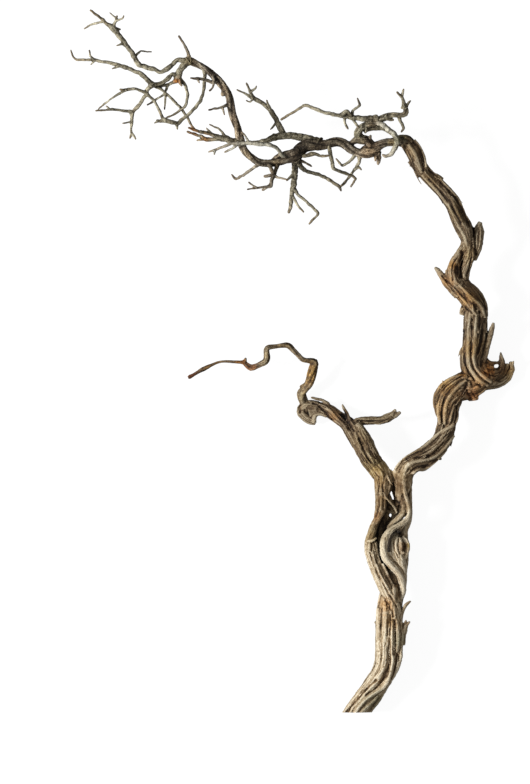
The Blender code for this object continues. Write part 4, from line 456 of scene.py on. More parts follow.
        (22.5, 82.3, 1.1), (25.5, 81.2, 1), (26.8, 80), (25.8, 78.8), (24.6, 76.4, 0.75)]),
    ("low_left_twig", "crown", (0, -5, -9, -11), [
        (28.6, 91, 2), (28, 87, 1.25), (26.5, 84.5, 1.1), (25, 82.3), (22, 78.5, 1),
        (20, 76.4, 0.85)]),
    ("low_left_hook", "low_left_twig", (0, 2), [(26.4, 84.4, 1), (28.2, 85), (29.2, 83.8, 0.75)]),
    ("low_flat_twig", "crown", (0, -2, -6), [
        (27.2, 91.4, 1.75), (24, 87.5, 1.1), (20.8, 85.9, 1), (18, 88.9, 0.75)]),
    ("low_long_twig", "crown", (0, -5, -8, -10, -12), [
        (0.6, 88.6, 2.5), (3, 84.8, 1.65), (5.5, 83.3, 1.5), (11, 81.7, 1.4), (14, 80.3),
        (17, 78.3), (19.5, 76.8, 1.25), (20.6, 74.5, 0.75)]),
    ("low_long_spur", "crown", (0, -3), [(1.2, 88.4, 1.5), (4.5, 86.9, 1), (7.7, 85.1, 0.75)]),
    ("low_short_twig", "crown", (0, 3, 6), [
        (1.6, 91, 2), (4, 89.6, 1.4), (7.3, 90.4, 1.75), (9, 90.5, 1.25), (11, 89.8),
        (15.3, 89.8, 0.85)]),
    ("down_twig", "crown", (0, -7, -11, -14, -16), [
        (0.2, 89, 2.75), (0.3, 85, 2.5), (0.1, 82, 2.25), (-0.2, 78, 2.25), (-0.8, 75, 2),
        (-1.3, 72, 1.65), (-1.5, 69, 1.5), (-2.4, 65, 1)]),
    ("down_twig_long", "down_twig", (0, -1, -3, -5), [
        (-0.6, 76, 1.5), (2, 73, 1.1), (7, 68.6), (10.3, 65.2, 1.1), (9, 63.2), (6.2, 60.3, 0.85)]),
    ("down_twig_mid", "down_twig", (0, 2), [(-1.1, 73.2, 1.1), (1.3, 69), (4.2, 65.4, 0.75)]),
    ("down_twig_spur", "down_twig", (0, 3), [(-0.2, 82, 1.25), (-2, 80.5, 1), (-3.4, 79, 0.85)]),
    ("rust_twig", "crown", (0, -4, -6), [
        (-14.6, 86.7, 1.75), (-17.5, 84.7, 1.25), (-22, 81.6, 1.1), (-25.5, 80, 1),
        (-27.4, 81.9, 0.75)]),
    ("forked_twig", "crown", (0, 4, 6, 8, 10), [
        (-6.5, 87.2, 2.25), (-7.3, 86, 1.75), (-8, 84, 1.65), (-9.8, 79, 1.5), (-10.3, 76.8, 1.4),
        (-11.5, 76.3, 1.1), (-17, 75.6, 0.85), (-20.7, 75, 0.6)]),
    ("forked_twig_a", "forked_twig", (0, 2), [(-16.5, 75.7, 0.85), (-20, 78.4, 0.75)]),
    ("forked_twig_b", "forked_twig", (0, -2), [(-10.5, 76.9, 1.25), (-12.5, 75.8), (-14.2, 74.7, 1)]),
    ("forked_twig_c", "forked_twig", (0, -1), [(-8.8, 81.5, 1.25), (-11.5, 81), (-13.5, 80.7, 1)]),
    ("forked_twig_d", "forked_twig", (0, 2), [(-8.8, 81.2, 1.1), (-7, 80.2), (-3.3, 79.3, 0.75)]),
    ("forked_root", "crown", (0, 3, 5.3), [(-11.8, 86.4, 1.9), (-10.8, 85.4, 1.5), (-9.3, 82.2, 1.4)]),
]

# Saw cuts that part the nodes: node, route, distance along it, and radius of the cut
SAW_CUTS = [
    ("left_limb", "left_limb", 12.8, 6.4),
    ("right_limb", "right_limb", 16.5, 6.6),
    ("upper_limb", "upper_limb", 26.2, 9.8),
    ("crown_limb", "crown", 6.2, 3.6),
    ("left_broken_branch", "broken_branch", 7.6, 3.4),
    ("left_twig", "left_twig", 3.4, 2.6),
    ("crown_upper_limb", "arching_limb", 2.6, 2.9),
    ("roof_twig", "roof_twig", 6.6, 1.8),
    ("looping_twig", "looping_twig", 4.6, 1.6),
    ("middle_twig", "middle_twig", 4.8, 2.8),
    ("rising_twig", "rising_twig", 2.2, 1.5),
    ("low_twig", "low_twig", 3.4, 1.3),
    ("low_left_twig", "low_left_twig", 3.4, 1.3),
    ("low_flat_twig", "low_flat_twig", 3.4, 1.2),
    ("low_long_twig", "low_long_twig", 3.6, 1.4),
    ("low_short_twig", "low_short_twig", 2.6, 1.2),
    ("down_twig", "down_twig", 3.6, 1.7),
    ("rust_twig", "rust_twig", 2.6, 1.2),
    ("pale_twig", "pale_twig", 3.6, 1.5),
    ("claw_twig", "claw_twig", 2.4, 1.6),
    ("outer_twig", "outer_twig", 3.2, 1.5),
    ("knob_twig", "knob_twig", 3.2, 1.6),
    ("long_twig", "long_twig", 2.2, 1.4),
    ("drooping_twig", "drooping_twig", 2.2, 1.4),
    ("hanging_twig", "hanging_twig", 3.4, 1.5),
]

# Ridges that lie on the upper side of a limb: limb, tone, and points x, y, width
RIDGES = {
    "butt_left": ("lower_trunk", 0.3, [
        (36.7, -107, 2), (36.8, -114, 2.6), (36.9, -120, 2.8), (37.2, -126, 2.8), (36.9, -131, 2.6),
        (35.4, -135, 2.6), (32.8, -138.6, 2.8), (29.6, -142.5, 2.8), (26.7, -146.3, 2.8),
        (24, -150, 2.6), (21.5, -154, 2.4)]),
    "butt_middle": ("lower_trunk", 0.25, [
        (39.7, -106, 2), (39.7, -111, 2.6), (39.5, -116, 3), (39.3, -122, 3.2), (39.4, -128, 3.2),
        (38.8, -132.5, 3.2), (37.2, -136, 3.2), (34.8, -139.6, 3), (32.2, -142.6, 2.8),
        (29, -146.2, 2.8), (26, -150, 2.8), (24, -153.5, 2.8)]),
    "butt_right": ("lower_trunk", 0.2, [
        (42.7, -113, 1.2), (42.7, -119, 1.6), (42.5, -125, 1.9), (42.7, -130, 2), (42, -134.5, 2),
        (40.9, -138, 2), (38.6, -141.6, 2), (35, -144.2, 1.8), (31, -147, 1.8), (27.6, -151, 1.8),
        (25.4, -155, 1.8)]),
    "butt_edge": ("lower_trunk", -0.25, [
        (46.7, -115, 1.6), (46.8, -120, 2), (46, -126, 1.8), (44.9, -130, 0.9)]),
    "right_high": ("right_limb", 0.75, [
        (43.4, -48, 1.2), (45.4, -44.3, 1.3), (48.6, -41.2, 1.3), (53, -38.6, 1.3), (57, -36.3, 1.5),
        (60.5, -33.2, 1.7), (63.2, -31, 1.9), (66.5, -28.7, 2), (69.4, -27, 1.8), (71, -24.4, 1.5),
        (71.4, -21.6, 1)]),
    "right_main": ("right_limb", 0.9, [
        (47.5, -53, 1.7), (47.4, -50, 1.7), (48.1, -47, 1.7), (49.6, -44.6, 1.8), (52.4, -43.3, 1.8),
        (56, -42.5, 1.7), (60, -41.5, 1.6), (63, -39.6, 1.5), (65.4, -37.3, 1.5), (67.6, -34.8, 1.4),
        (69.8, -31.8, 1.1)]),
    "right_short": ("right_limb", 0.7, [
        (56, -40.4, 0.8), (58.6, -39.3, 1), (60.4, -37.9, 1), (61.8, -36.4, 0.7)]),
    "right_low": ("right_limb", -0.1, [
        (51.4, -48.4, 1.6), (53.4, -46.6, 1.9), (57, -46.3, 1.9), (60.5, -43.4, 1.9), (64.2, -40.2, 1.5),
        (66.6, -37.8, 0.8)]),
    "bulge_a": ("right_limb", -0.1, [
        (63.6, -27, 1.6), (62.9, -22, 2), (62.9, -17, 2), (64.7, -12.5, 2), (68, -9.2, 1.8),
        (72, -6.6, 1.4)]),
    "bulge_b": ("right_limb", -0.1, [
        (65.4, -27, 1.3), (65.6, -22, 1.8), (66.6, -17, 2), (69, -13, 2), (72, -10, 1.8), (75, -7.6, 1.4)]),
    "bulge_c": ("right_limb", -0.1, [
        (67.6, -25.6, 1.3), (68.2, -22, 1.7), (69.6, -18.6, 1.8), (72.2, -15, 1.5), (74.2, -11.6, 1.2)]),
    "upper_a": ("upper_limb", 0.4, [
        (76.6, 20, 1.4), (76.1, 14, 1.9), (75.9, 8, 2.1), (76, 2, 2.2), (77.2, -3, 2.2), (80.2, -7.2, 2.1),
        (84.4, -10, 1.6)]),
    "upper_b": ("upper_limb", 0.3, [
        (79.3, 20, 1.4), (79, 14, 1.9), (78.6, 8, 2), (78.2, 2, 2), (79.4, -2.6, 2), (82.4, -6, 1.9),
        (86, -8.6, 1.4)]),
    "upper_c": ("upper_limb", 0.2, [
        (83.2, 19.5, 1.4), (81.4, 24.4, 1.9), (78, 28, 2), (74.4, 31.4, 1.8), (71.4, 34.4, 1.4)]),
    "upper_d": ("upper_limb", 0.3, [
        (79.6, 20.4, 1.4), (76.6, 24, 1.9), (73.2, 27.4, 1.9), (70, 30.4, 1.7), (67.4, 33.4, 1.4)]),
    "shoulder_pale": ("shoulder", 0.6, [
        (75.3, 50.5, 2.2), (74.4, 54.6, 2.3), (72.3, 58.4, 2.2), (70.2, 61.8, 2), (68.6, 65.4, 1.8),
        (66.8, 69.4, 1.4)]),
    "shoulder_low": ("shoulder", 0.25, [
        (67.2, 67.6, 1.2), (64.8, 71.4, 1.7), (62.2, 74.8, 1.8), (58.8, 78.2, 1.6), (55.6, 81.6, 1.2)]),
    "shoulder_top": ("shoulder", -0.1, [
        (75.6, 61.6, 1.5), (73.2, 66.4, 1.8), (71, 71.4, 1.9), (67.4, 75.6, 1.8), (63, 80, 1.6)]),
    "shoulder_end": ("shoulder", 0.35, [
        (55.4, 82.6, 1.4), (53.6, 87, 1.9), (51.9, 91.4, 1.9), (49.4, 95, 1.6)]),
    "shoulder_side": ("shoulder", 0.2, [
        (57.4, 85, 1.1), (56.4, 89.6, 1.4), (54.4, 94, 1.5), (52.2, 97, 1.2)]),
}

# Cracks and grooves in the upper side: depth, half width, and points x, y
CRACKS = [
    (1.1, 0.42, [(41.4, -120.5), (41.5, -125), (41.6, -129), (41, -133.2), (39.9, -136), (38.4, -138.4),
                 (36.7, -141), (34.6, -142.9), (31.5, -144.8)]),
    (1.2, 0.5, [(40.3, -134.8), (38.8, -137.8), (37, -140.6)]),
    (1.1, 0.42, [(43.5, -112.5), (43.8, -118), (43.7, -122), (43.2, -127)]),
    (0.9, 0.32, [(44.7, -127), (44.2, -131), (43.3, -134.5), (42.3, -137.8)]),
    (1.1, 0.36, [(35.6, -138.5), (32.5, -141.5), (30, -144.3), (27, -147.5), (24.8, -150.2),
                  (22.6, -152.9)]),
    (0.7, 0.34, [(38.2, -107.5), (38.1, -110.5), (38.2, -114.5)]),
    (0.5, 0.25, [(38.1, -116), (38, -121), (38.2, -127), (37.8, -131)]),
    (0.6, 0.28, [(41.9, -110), (42, -115), (41.7, -119)]),
    (0.9, 0.35, [(39.5, -103.2), (41, -105.8), (42.5, -108.2), (43.1, -110.5)]),
    (0.5, 0.24, [(40.4, -107), (40.6, -113), (40.5, -119)]),
    (0.5, 0.24, [(35.8, -131), (34.4, -134.2), (31.6, -137.9), (28.4, -141.8), (25.2, -146.2)]),
    (0.4, 0.22, [(46.1, -110), (46, -117), (46.1, -124), (45.4, -130)]),
    (0.7, 0.28, [(33, -83), (34.4, -87.6), (36.6, -92.4), (39.2, -97.4), (42, -102.2), (44.2, -106)]),
    (0.6, 0.24, [(35.4, -86), (37.6, -91), (40.2, -96), (43, -100.9)]),
    (0.9, 0.4, [(33.6, -78.7), (33.6, -81.5)]),
    (0.6, 0.26, [(37, -50), (36.6, -56), (36.8, -62), (35.8, -67)]),
    (0.6, 0.26, [(39.2, -49), (38.6, -54), (38.9, -59), (38.8, -64)]),
    (0.4, 0.2, [(39.8, -76.4), (39.8, -81), (41, -85.6), (43.9, -88.9)]),
    (0.5, 0.24, [(41.9, -84.4), (44, -87), (46.4, -89.1), (48, -92.2)]),
    (1.5, 0.42, [(47.6, -79.2), (47.8, -80.4), (47.6, -81.5)]),
    (0.5, 0.22, [(44.2, -76.6), (43.4, -79), (43.6, -81.8), (45, -84)]),
    (0.5, 0.22, [(45.4, -76.8), (45, -79.4), (45.3, -82), (46.8, -84.4)]),
    (1, 0.42, [(45.8, -47.5), (46.5, -44.3), (48.8, -42.3), (53, -41.3), (58, -40.8), (61, -39),
               (63.6, -36.5), (66, -33.5), (68.4, -31)]),
    (0.9, 0.4, [(49.6, -50), (50.9, -47), (54.5, -45.2), (59, -44.9), (62, -42.5)]),
    (0.6, 0.26, [(44.6, -46.5), (47.6, -42), (52, -39.9), (56, -38.3), (60, -35.5), (63, -32.8)]),
    (0.6, 0.26, [(62.4, -35.8), (65.4, -32.4), (68.4, -30.2)]),
    (0.8, 0.36, [(70.2, -27.4), (70.6, -23), (70.3, -19)]),
    (0.7, 0.3, [(66.8, -26.4), (67.6, -23), (68.4, -19.6), (70.4, -16.4), (73.4, -14)]),
    (1.1, 0.42, [(70.2, -17.6), (72.4, -15), (74.2, -12), (75.4, -9.2)]),
    (0.8, 0.34, [(61.8, -18), (63.6, -13.4), (66.4, -9.9), (70, -7.6), (73.6, -5.6)]),
    (0.6, 0.26, [(64.5, -25.5), (64.3, -20), (65.6, -15), (68.6, -11), (72.4, -8)]),
    (0.9, 0.34, [(75.1, -12), (76.2, -14.6), (77, -17)]),
    (0.5, 0.3, [(77.5, -12.4), (78.6, -14.6)]),
    (0.9, 0.34, [(74, 14), (73.8, 9), (74, 4), (74.5, 0), (75.9, -3.8), (78.2, -7.3), (81.2, -10.4)]),
    (0.8, 0.32, [(77.6, 19), (77.3, 13), (77.2, 7), (77, 2), (78, -2.6), (81, -6.6), (84.6, -9)]),
    (1.1, 0.55, [(80.8, 19), (81, 13), (80.6, 7), (80.2, 2), (80.8, -1.2)]),
    (0.7, 0.3, [(81.4, -3.4), (84.4, -5.2), (87.6, -6)]),
    (0.7, 0.3, [(83.6, 23.4), (80.4, 27), (76.6, 30.2), (73.4, 33.4)]),
    (0.7, 0.3, [(80.6, 22), (77.2, 25.8), (73.4, 29.2), (70, 32.4), (66, 36)]),
    (0.6, 0.26, [(77.4, 21.6), (74.6, 25), (71.4, 28.4)]),
    (1, 0.4, [(75.4, 23.4), (73.6, 24.6)]),
    (0.5, 0.24, [(69.6, 31), (66.6, 34.4), (64.4, 37.6)]),
    (1.3, 0.45, [(73, 48), (72.7, 44.6), (72.1, 41), (72.4, 37.4)]),
    (1.0, 0.8, [(71, 39.4), (70.9, 41.4)]),
    (0.5, 0.25, [(69, 36), (68.6, 40), (69.4, 43.4), (71.4, 46.4)]),
    (0.6, 0.28, [(75.2, 38), (76.4, 42.4), (77.6, 46.6), (77.4, 50.6)]),
    (1.4, 0.5, [(77.8, 59.2), (77.8, 55), (77.9, 51), (79, 47.4)]),
    (0.5, 0.25, [(80.2, 59), (80.2, 54.4), (79.8, 50)]),
    (1, 0.42, [(76.4, 59.6), (74.6, 63.6), (72.2, 68.2), (69.6, 72), (66.4, 75.6), (62.6, 79.4)]),
    (0.7, 0.3, [(72.4, 61.2), (70.4, 64.4), (68.6, 67.8), (65.8, 71.8), (62.4, 75.9), (58.6, 79.6)]),
    (0.6, 0.26, [(70.6, 59.8), (68.6, 63.4), (66.4, 67.4), (63.8, 70.9)]),
    (0.9, 0.4, [(56.2, 83.6), (55.6, 88), (54.2, 92), (51.8, 95.6)]),
    (0.6, 0.28, [(52.4, 84), (51.4, 88.4), (49.4, 92)]),
    (0.8, 0.34, [(58.2, 83.6), (60.4, 82.2), (62.2, 80.6)]),
    (1, 0.36, [(28.2, -33.2), (29.4, -36), (30.5, -38.6), (31.6, -41), (33.4, -43.6)]),
    (0.7, 0.28, [(29.4, -40), (31.8, -43.4), (34.8, -47.4), (37, -50)]),
    (0.7, 0.28, [(34, -42), (36.6, -45.4), (39.4, -48.4)]),
    (0.5, 0.24, [(26.4, -36), (28, -39.4), (30.6, -43)]),
    (0.6, 0.26, [(31.4, -34), (33, -38), (35.4, -41.8)]),
    (1.7, 1.1, [(21.8, -23), (22.8, -25.6), (24, -27.4)]),
    (0.9, 0.36, [(24.2, -27.8), (26, -29.8)]),
    (1, 0.36, [(11, -19.2), (13, -21), (14.8, -23), (16.6, -25)]),
    (0.6, 0.26, [(8.2, -17.8), (11, -18.6), (13.6, -19.6)]),
    (0.8, 0.36, [(3, -18), (2.3, -19.8), (2.5, -21.8)]),
    (1.2, 0.6, [(10.6, -24.4), (11, -24.6)]),
    (0.6, 0.28, [(27.6, -25.2), (31.6, -25.5), (36, -25.7), (39.6, -25.2), (42.4, -23.8)]),
    (0.7, 0.34, [(91, -6), (92.8, -3.8), (93.8, -1.4)]),
]

RIDGE_PROUD = 0.5          # how far a ridge stands out of its limb
RIDGE_SEAT = 0.96          # height on the round limb at which it sits, as a share
RIDGE_EDGE = 0.92          # how far out it is still raised, as a share of the limb's half width

# Slivers that lift off the limbs: how many on each, and the least and most of their sizes
SPLINTERS = {"left_limb": 12, "right_limb": 16, "upper_limb": 18, "shoulder": 16}
SPLINTER_SEED = 5
SPLINTER_LENGTH = (2.0, 5.0)
SPLINTER_LIFT = (0.5, 1.5)
SPLINTER_SWAY = (-0.8, 0.8)
SPLINTER_WIDTH = (0.6, 0.95)
SPLINTER_TONE = (-0.6, 0.6)
SPLINTER_TAPER = (1, 1.1, 0.85, 0.45)  # widths along one, as shares of its width
SPLINTER_CLEARANCE = 1.0   # least height over the floor

# Twigs: least width and variation of the knobs, extra width and length of the flared foot, loss of
# width and length of the blunt tip, size of the bends and the length in which they set in
KNOB_LEAST, KNOB_CHANGE = 1.04, 0.40
FOOT_FLARE, FOOT_LENGTH = 0.45, 0.9
TIP_LOSS, TIP_LENGTH = 0.35, 0.35
BEND_SIZE, BEND_ONSET = 0.35, 3.0

# Directions of the sky that the openness of the wood is told by, and how far they look; the openness paints
# shade into the limbs' colour
SKY = [(0, 0)] + [(0.7 * math.cos(a * math.pi / 4), 0.7 * math.sin(a * math.pi / 4)) for a in range(8)]
SKY_REACH = 7.0
NO_SKY_PAINTED_BRIGHTNESS = 0.04              # painted shade: brightness painted onto wood that sees no sky
CRACK_PAINTED_SHADE = (0.30, 0.42, 0.55)       # painted shade: how much red, green and blue is taken away in a deep crack
TIP_STAIN = (0.55, 0.63, 0.70)         # and how much the tip of a thin twig takes away
PAINTED_LIT_SIDE = (-0.62, -0.30, 0.72)   # side from which light is painted onto the twigs, with painted shade on the far side
BARK_ROUGH = 0.18          # height of the bark's roughness

# Pin holes of the lower trunk
PIN_HOLES = [
    (35.8, -121.4), (41.2, -121.6), (38.5, -124.8), (36.6, -126), (38.4, -128.8), (39.9, -129.7),
    (36.3, -131.3), (39.1, -132.7), (42, -134.6), (43.7, -135.3), (36.7, -145.3)]
PIN_HOLE_RADIUS = 0.3
PIN_HOLE_DEPTH = 0.5

# Strands that are paler (up to 1) or darker (down to -1) than the wood around them; back_left, back_right,
# low_bridge and crossing_fill lie under other strands and are darkened further as painted shade
TONES = {
    "ribbon": 0.9, "thin_bridge": 0.8, "thin_strand": 0.7, "brown_strand": -0.4, "cross_stub": 0.3,
    "cheek": 0.8, "knot_left": 0.35, "knot_ring": 0.1, "knot_rim": -0.1, "right_edge": -0.2,
    "back_left": -1.3, "back_right": -1.3, "web": -0.5, "inner_dark": -0.8, "low_bridge": -1.3,
    "inner_strand": -0.5, "left_strand": 0.2, "lower_trunk": -0.1, "left_limb": -0.2,
    "right_limb": -0.28, "upper_limb": -0.3, "shoulder": -0.45, "stub": -0.9, "stub_teeth": -0.8,
    "stub_tooth": -0.6, "thick_stub": -0.3, "left_nub": -0.8, "burl_shard": -0.6, "burl_loop": -0.9,
    "hook": 0.15, "hook_inner": 0.2, "hook_teeth": 0.1, "flat_spur": -0.45, "spur_shard": -0.7,
    "crossing_fill": -1.2, "shoulder_sliver": -0.6, "knob_hook": 0.9, "knob_fill": 0.1,
    "slant_spur": -0.3, "sliver": -0.6, "broken_branch": -0.4, "broken_tip": -0.5, "pale_twig": 0.4,
    "looping_twig": 0.2, "roof_twig": 0.2, "outer_twig": 0.2, "long_twig": -0.2,
}

# Places where the wood has stain marks or is worn, painted shade in the dark gaps between strands, and
# painted light lifting the shaded bowl of the burl:
# x, y, radius, and how it changes the colour
STAINS_AND_PAINTED_LIGHT = [
    (40, -105.8, 3.2, (0.95, 0.7, 0.45)), (42, -113, 3.4, (0.85, 0.68, 0.46)),
    (46.8, -121, 3.4, (0.62, 0.64, 0.56)), (34.5, -148.5, 5, (0.60, 0.62, 0.56)),
    (38.6, -147, 3, (0.7, 0.7, 0.6)), (37.4, -52, 4.5, (0.66, 0.54, 0.38)),
    (38, -60, 4.4, (0.5, 0.4, 0.27)), (36.4, -67.5, 3, (0.8, 0.56, 0.36)),
    (45.2, -53, 3.4, (0.5, 0.42, 0.34)), (45.4, -61, 2.8, (0.55, 0.47, 0.4)),
    (51, -62, 2.2, (0.7, 0.62, 0.52)), (47, -56, 6, (0.78, 0.71, 0.62)),
    # the darkest spots on this line and the next two are painted shade in the gap between the left strand
    # and the ribbon
    (38, -67, 12, (0.66, 0.62, 0.54)), (38, -71, 2.7, (0.22, 0.19, 0.17)),
    (39.4, -67.6, 2.2, (0.28, 0.24, 0.2)), (36.8, -75, 1.7, (0.3, 0.25, 0.2)),
    (41.6, -62, 2, (0.4, 0.34, 0.26)), (45.4, -73.6, 1.8, (0.25, 0.22, 0.2)),
    (33.4, -75, 4.6, (0.66, 0.58, 0.42)), (40.6, -89.6, 1.5, (0.5, 0.4, 0.28)),
    (42.3, -93.2, 2, (0.28, 0.22, 0.17)), (44, -97, 1.8, (0.3, 0.24, 0.18)),
    (45.2, -101, 1.5, (0.5, 0.4, 0.3)), (50.2, -105.5, 2.6, (0.4, 0.35, 0.3)),
    (49.4, -113.4, 2.4, (0.5, 0.44, 0.38)), (53, -38, 3, (0.7, 0.62, 0.52)),
    (64, -38, 3, (0.7, 0.62, 0.52)), (46, -74.5, 2, (0.35, 0.32, 0.3)),
    (47.7, -80.5, 2.2, (0.85, 0.66, 0.5)), (50, -80, 1.4, (0.7, 0.62, 0.3)),
    (43, -94, 2.6, (0.6, 0.5, 0.4)), (47, -50, 4, (0.75, 0.68, 0.56)),
    (35, -45.5, 6, (0.85, 0.78, 0.5)), (29, -34, 5, (0.85, 0.78, 0.62)),
    (22.6, -25.4, 3, (0.35, 0.3, 0.28)), (17.5, -23, 3, (1, 0.75, 0.5)),
    (4.5, -20.5, 4, (0.76, 0.73, 0.68)), (36, -25, 8, (0.8, 0.8, 0.72)),
    (55, -41, 7, (0.85, 0.82, 0.78)), (64, -20, 6, (1.42, 1.18, 0.86)),
    (66, -10, 4.4, (1.4, 1.12, 0.68)), (73.5, -5, 2.4, (1.05, 0.7, 0.28)),
    (77.5, -14.5, 2.8, (1.4, 1.0, 0.78)), (72, -14, 3, (1.0, 0.88, 0.74)),
    # lifts near the burl on this line and the next two are painted light in its shaded bowl
    (84.5, -3, 3, (1.6, 1.06, 0.6)), (85.4, -4.4, 3.4, (1.5, 1.22, 0.92)),
    (90.5, -2.6, 2.8, (0.45, 0.38, 0.3)), (79.5, -8, 3.4, (1.35, 1.15, 0.9)),
    (80, -13, 4, (1.5, 1.25, 0.95)), (94, -4, 3.4, (1.6, 1.32, 0.88)), (80.5, 8, 4, (0.8, 0.68, 0.5)),
    (76, 6, 4, (1.15, 0.98, 0.7)), (75, 28, 5, (1.2, 0.9, 0.55)), (66, 35, 4, (1.15, 0.84, 0.55)),
    (80.5, 28, 3.4, (0.55, 0.5, 0.38)), (69, 42.5, 2.6, (1.2, 0.84, 0.42)),
    (71.4, 40.4, 1.8, (0.35, 0.3, 0.26)), (76, 47, 4, (1.05, 0.95, 0.72)),
    (72, 66, 5, (0.72, 0.66, 0.5)), (60, 80, 5, (0.8, 0.7, 0.52)), (50, 92, 4, (0.95, 0.86, 0.72)),
    (47, 98, 2.4, (0.7, 0.72, 0.42)), (33, 91.5, 4, (1.8, 1.5, 1.2)), (28, 96, 3, (0.95, 0.95, 0.8)),
    (34, 103.5, 3, (0.6, 0.5, 0.42)), (42, 95.6, 2, (1, 0.9, 0.6)), (18, 95.8, 3.4, (0.8, 0.78, 0.7)),
    (10, 94, 5.4, (0.42, 0.37, 0.29)), (1.5, 90.8, 6, (0.26, 0.22, 0.17)),
    (-8, 86.8, 3, (0.9, 0.8, 0.62)), (-20, 90.5, 3, (0.85, 0.76, 0.6)),
    (-25, 103, 6, (1.15, 1.05, 0.92)), (-30, 118, 4, (1.2, 1.1, 0.95)), (-45, 131, 3, (0.8, 0.7, 0.5)),
    (-51, 122.2, 1.3, (1.9, 0.8, 0.2)), (-38.5, 97.2, 2.4, (0.9, 0.5, 0.22)),
    (-44, 100.4, 2.4, (0.95, 0.5, 0.22)), (7.6, -4.5, 6, (1.5, 1.12, 0.5)),
    (-5, 7.4, 6, (0.85, 0.75, 0.55)), (7, -19, 9, (0.82, 0.81, 0.79)), (34, -26, 9, (0.88, 0.87, 0.85)),
    (-12, 2.5, 3.4, (1.25, 1.25, 1.1)), (-18.8, -1.8, 3, (0.95, 0.56, 0.36)),
    (-23, 0.3, 3, (1.1, 0.62, 0.2)), (-36, -1.5, 9, (0.6, 0.45, 0.25)),
    (-45, -6, 3.4, (0.85, 0.4, 0.18)), (3.4, -14, 2.6, (1.3, 1.28, 1.1)),
]

# Node, and the look that its wood has
NODE_LOOKS = {
    "trunk": "trunk", "left_limb": "limb", "right_limb": "limb", "upper_limb": "limb",
    "left_broken_branch": "limb", "crown_limb": "crown", "crown_upper_limb": "twig",
    "left_twig": "tan", "rust_twig": "crown", "pale_twig": "pale", "looping_twig": "pale",
}

# Wood looks: colours of grooves, where shade is also painted, of the body and of ridges, pale from wear and
# from painted light, and roughness
LOOKS = {
    "trunk": ((0.095, 0.058, 0.026), (0.440, 0.328, 0.194), (0.780, 0.682, 0.510), 0.72),
    "limb": ((0.034, 0.020, 0.009), (0.180, 0.121, 0.065), (0.470, 0.390, 0.265), 0.76),
    "crown": ((0.008, 0.006, 0.003), (0.073, 0.053, 0.034), (0.450, 0.390, 0.290), 0.78),
    "twig": ((0.011, 0.008, 0.004), (0.094, 0.079, 0.047), (0.480, 0.435, 0.312), 0.76),
    "pale": ((0.025, 0.021, 0.013), (0.195, 0.178, 0.130), (0.530, 0.503, 0.410), 0.74),
    "tan": ((0.015, 0.008, 0.004), (0.118, 0.082, 0.047), (0.400, 0.334, 0.226), 0.70),
}
COLOUR_STOPS = (0.14, 0.52, 0.94)      # shades at which those three colours stand

# Textures of the wood: scale, detail and roughness
TEXTURES = {
    "fibre": (1.3, 5.0, 0.65), "thin": (4.2, 4.0, 0.7),
    "blotch": (160.0, 3.0, 0.6), "speck": (900.0, 2.0, 0.6),
}

# What makes the wood's shade: its middle value, and how strongly it counts; the hollow entry paints shade
# into grooves and hollows and painted light onto ridges, and the tone entry carries the painted shade of
# strands that lie underneath
SHADE_MIX = {
    "fibre": (0.5, 0.78), "thin": (0.5, 0.7), "blotch": (0.5, 0.55), "speck": (0.5, 0.3),
    "tone": (0.0, 0.22), "hollow": (0.5, -0.75),
}

# Columns of a strand sample: centre, width, length along the strand, its directions, how pale it
# is, its number, and the share of its length
CENTRE, WIDTH, ALONG, TANGENT, SIDE, UP, TONE, NUMBER, PART = (
    slice(0, 3), 3, 4, slice(5, 8), slice(8, 11), slice(11, 14), 14, 15, 16)


def smooth_route(points, step, roundness=1.0):
    """Points every step or so along a curve through a route, as rows x, y, z, diameter."""
    rows = [np.array(p, float) for p in points]
    rows = [2 * rows[0] - rows[1]] + rows + [2 * rows[-1] - rows[-2]]
    out = []
    for a, b, c, d in zip(rows, rows[1:], rows[2:], rows[3:]):
        count = max(1, round(np.linalg.norm((c - b)[:3]) / step))
        pull_b = roundness * (c - a) / 2
        pull_c = roundness * (d - b) / 2
        for i in range(count):
            t = i / count
            out.append((2 * t ** 3 - 3 * t ** 2 + 1) * b + (t ** 3 - 2 * t ** 2 + t) * pull_b
                       + (3 * t ** 2 - 2 * t ** 3) * c + (t ** 3 - t ** 2) * pull_c)
    out.append(rows[-2])
    return np.array(out)


def lengths(rows):
    """Distance along a route at each of its rows."""
    steps = np.linalg.norm(np.diff(rows[:, :3], axis=0), axis=1)
    return np.concatenate([[0.0], np.cumsum(steps)])


def frames(rows):
    """Tangents of a route with two side directions that don't twist along it."""
    tangents = np.gradient(rows[:, :3], axis=0)
    tangents /= np.linalg.norm(tangents, axis=1)[:, None] + 1e-9
    side = np.cross(tangents[0], (0.0, 0.0, 1.0))
    if np.linalg.norm(side) < 0.1:
        side = np.cross(tangents[0], (0.0, 1.0, 0.0))
    sides = []
    for tangent in tangents:
        side = side - tangent * side.dot(tangent)
        side /= np.linalg.norm(side)
        sides.append(side)
    sides = np.array(sides)
    return tangents, sides, np.cross(tangents, sides)


def uneven(along, number, wave):
    """Slow wave along a strand, which differs from strand to strand."""
    size, pace, shift = wave
    return size * np.sin(along * pace + number * shift)


def winding_strands(rows, count, turns, share, core):
    """Core of a limb and the strands that wind round it, as a list of routes."""
    rows = smooth_route(rows, 1.0)
    along = lengths(rows)
    _, sides, ups = frames(rows)
    centre = rows.copy()
    centre[:, 3] *= core
    routes = [centre]
    for k in range(count):
        angle = 2 * math.pi * (k / count + turns * along / along[-1]) + uneven(along, k, STRAY)
        reach = rows[:, 3] / 2 * (1 - share) * (1 + uneven(along, k, SINK))
        strand = rows.copy()
        strand[:, :3] += reach[:, None] * (np.cos(angle)[:, None] * sides + np.sin(angle)[:, None] * ups)
        strand[:, 3] = rows[:, 3] * share * (1 + uneven(along, k, SWELL))
        routes.append(strand)
    return routes


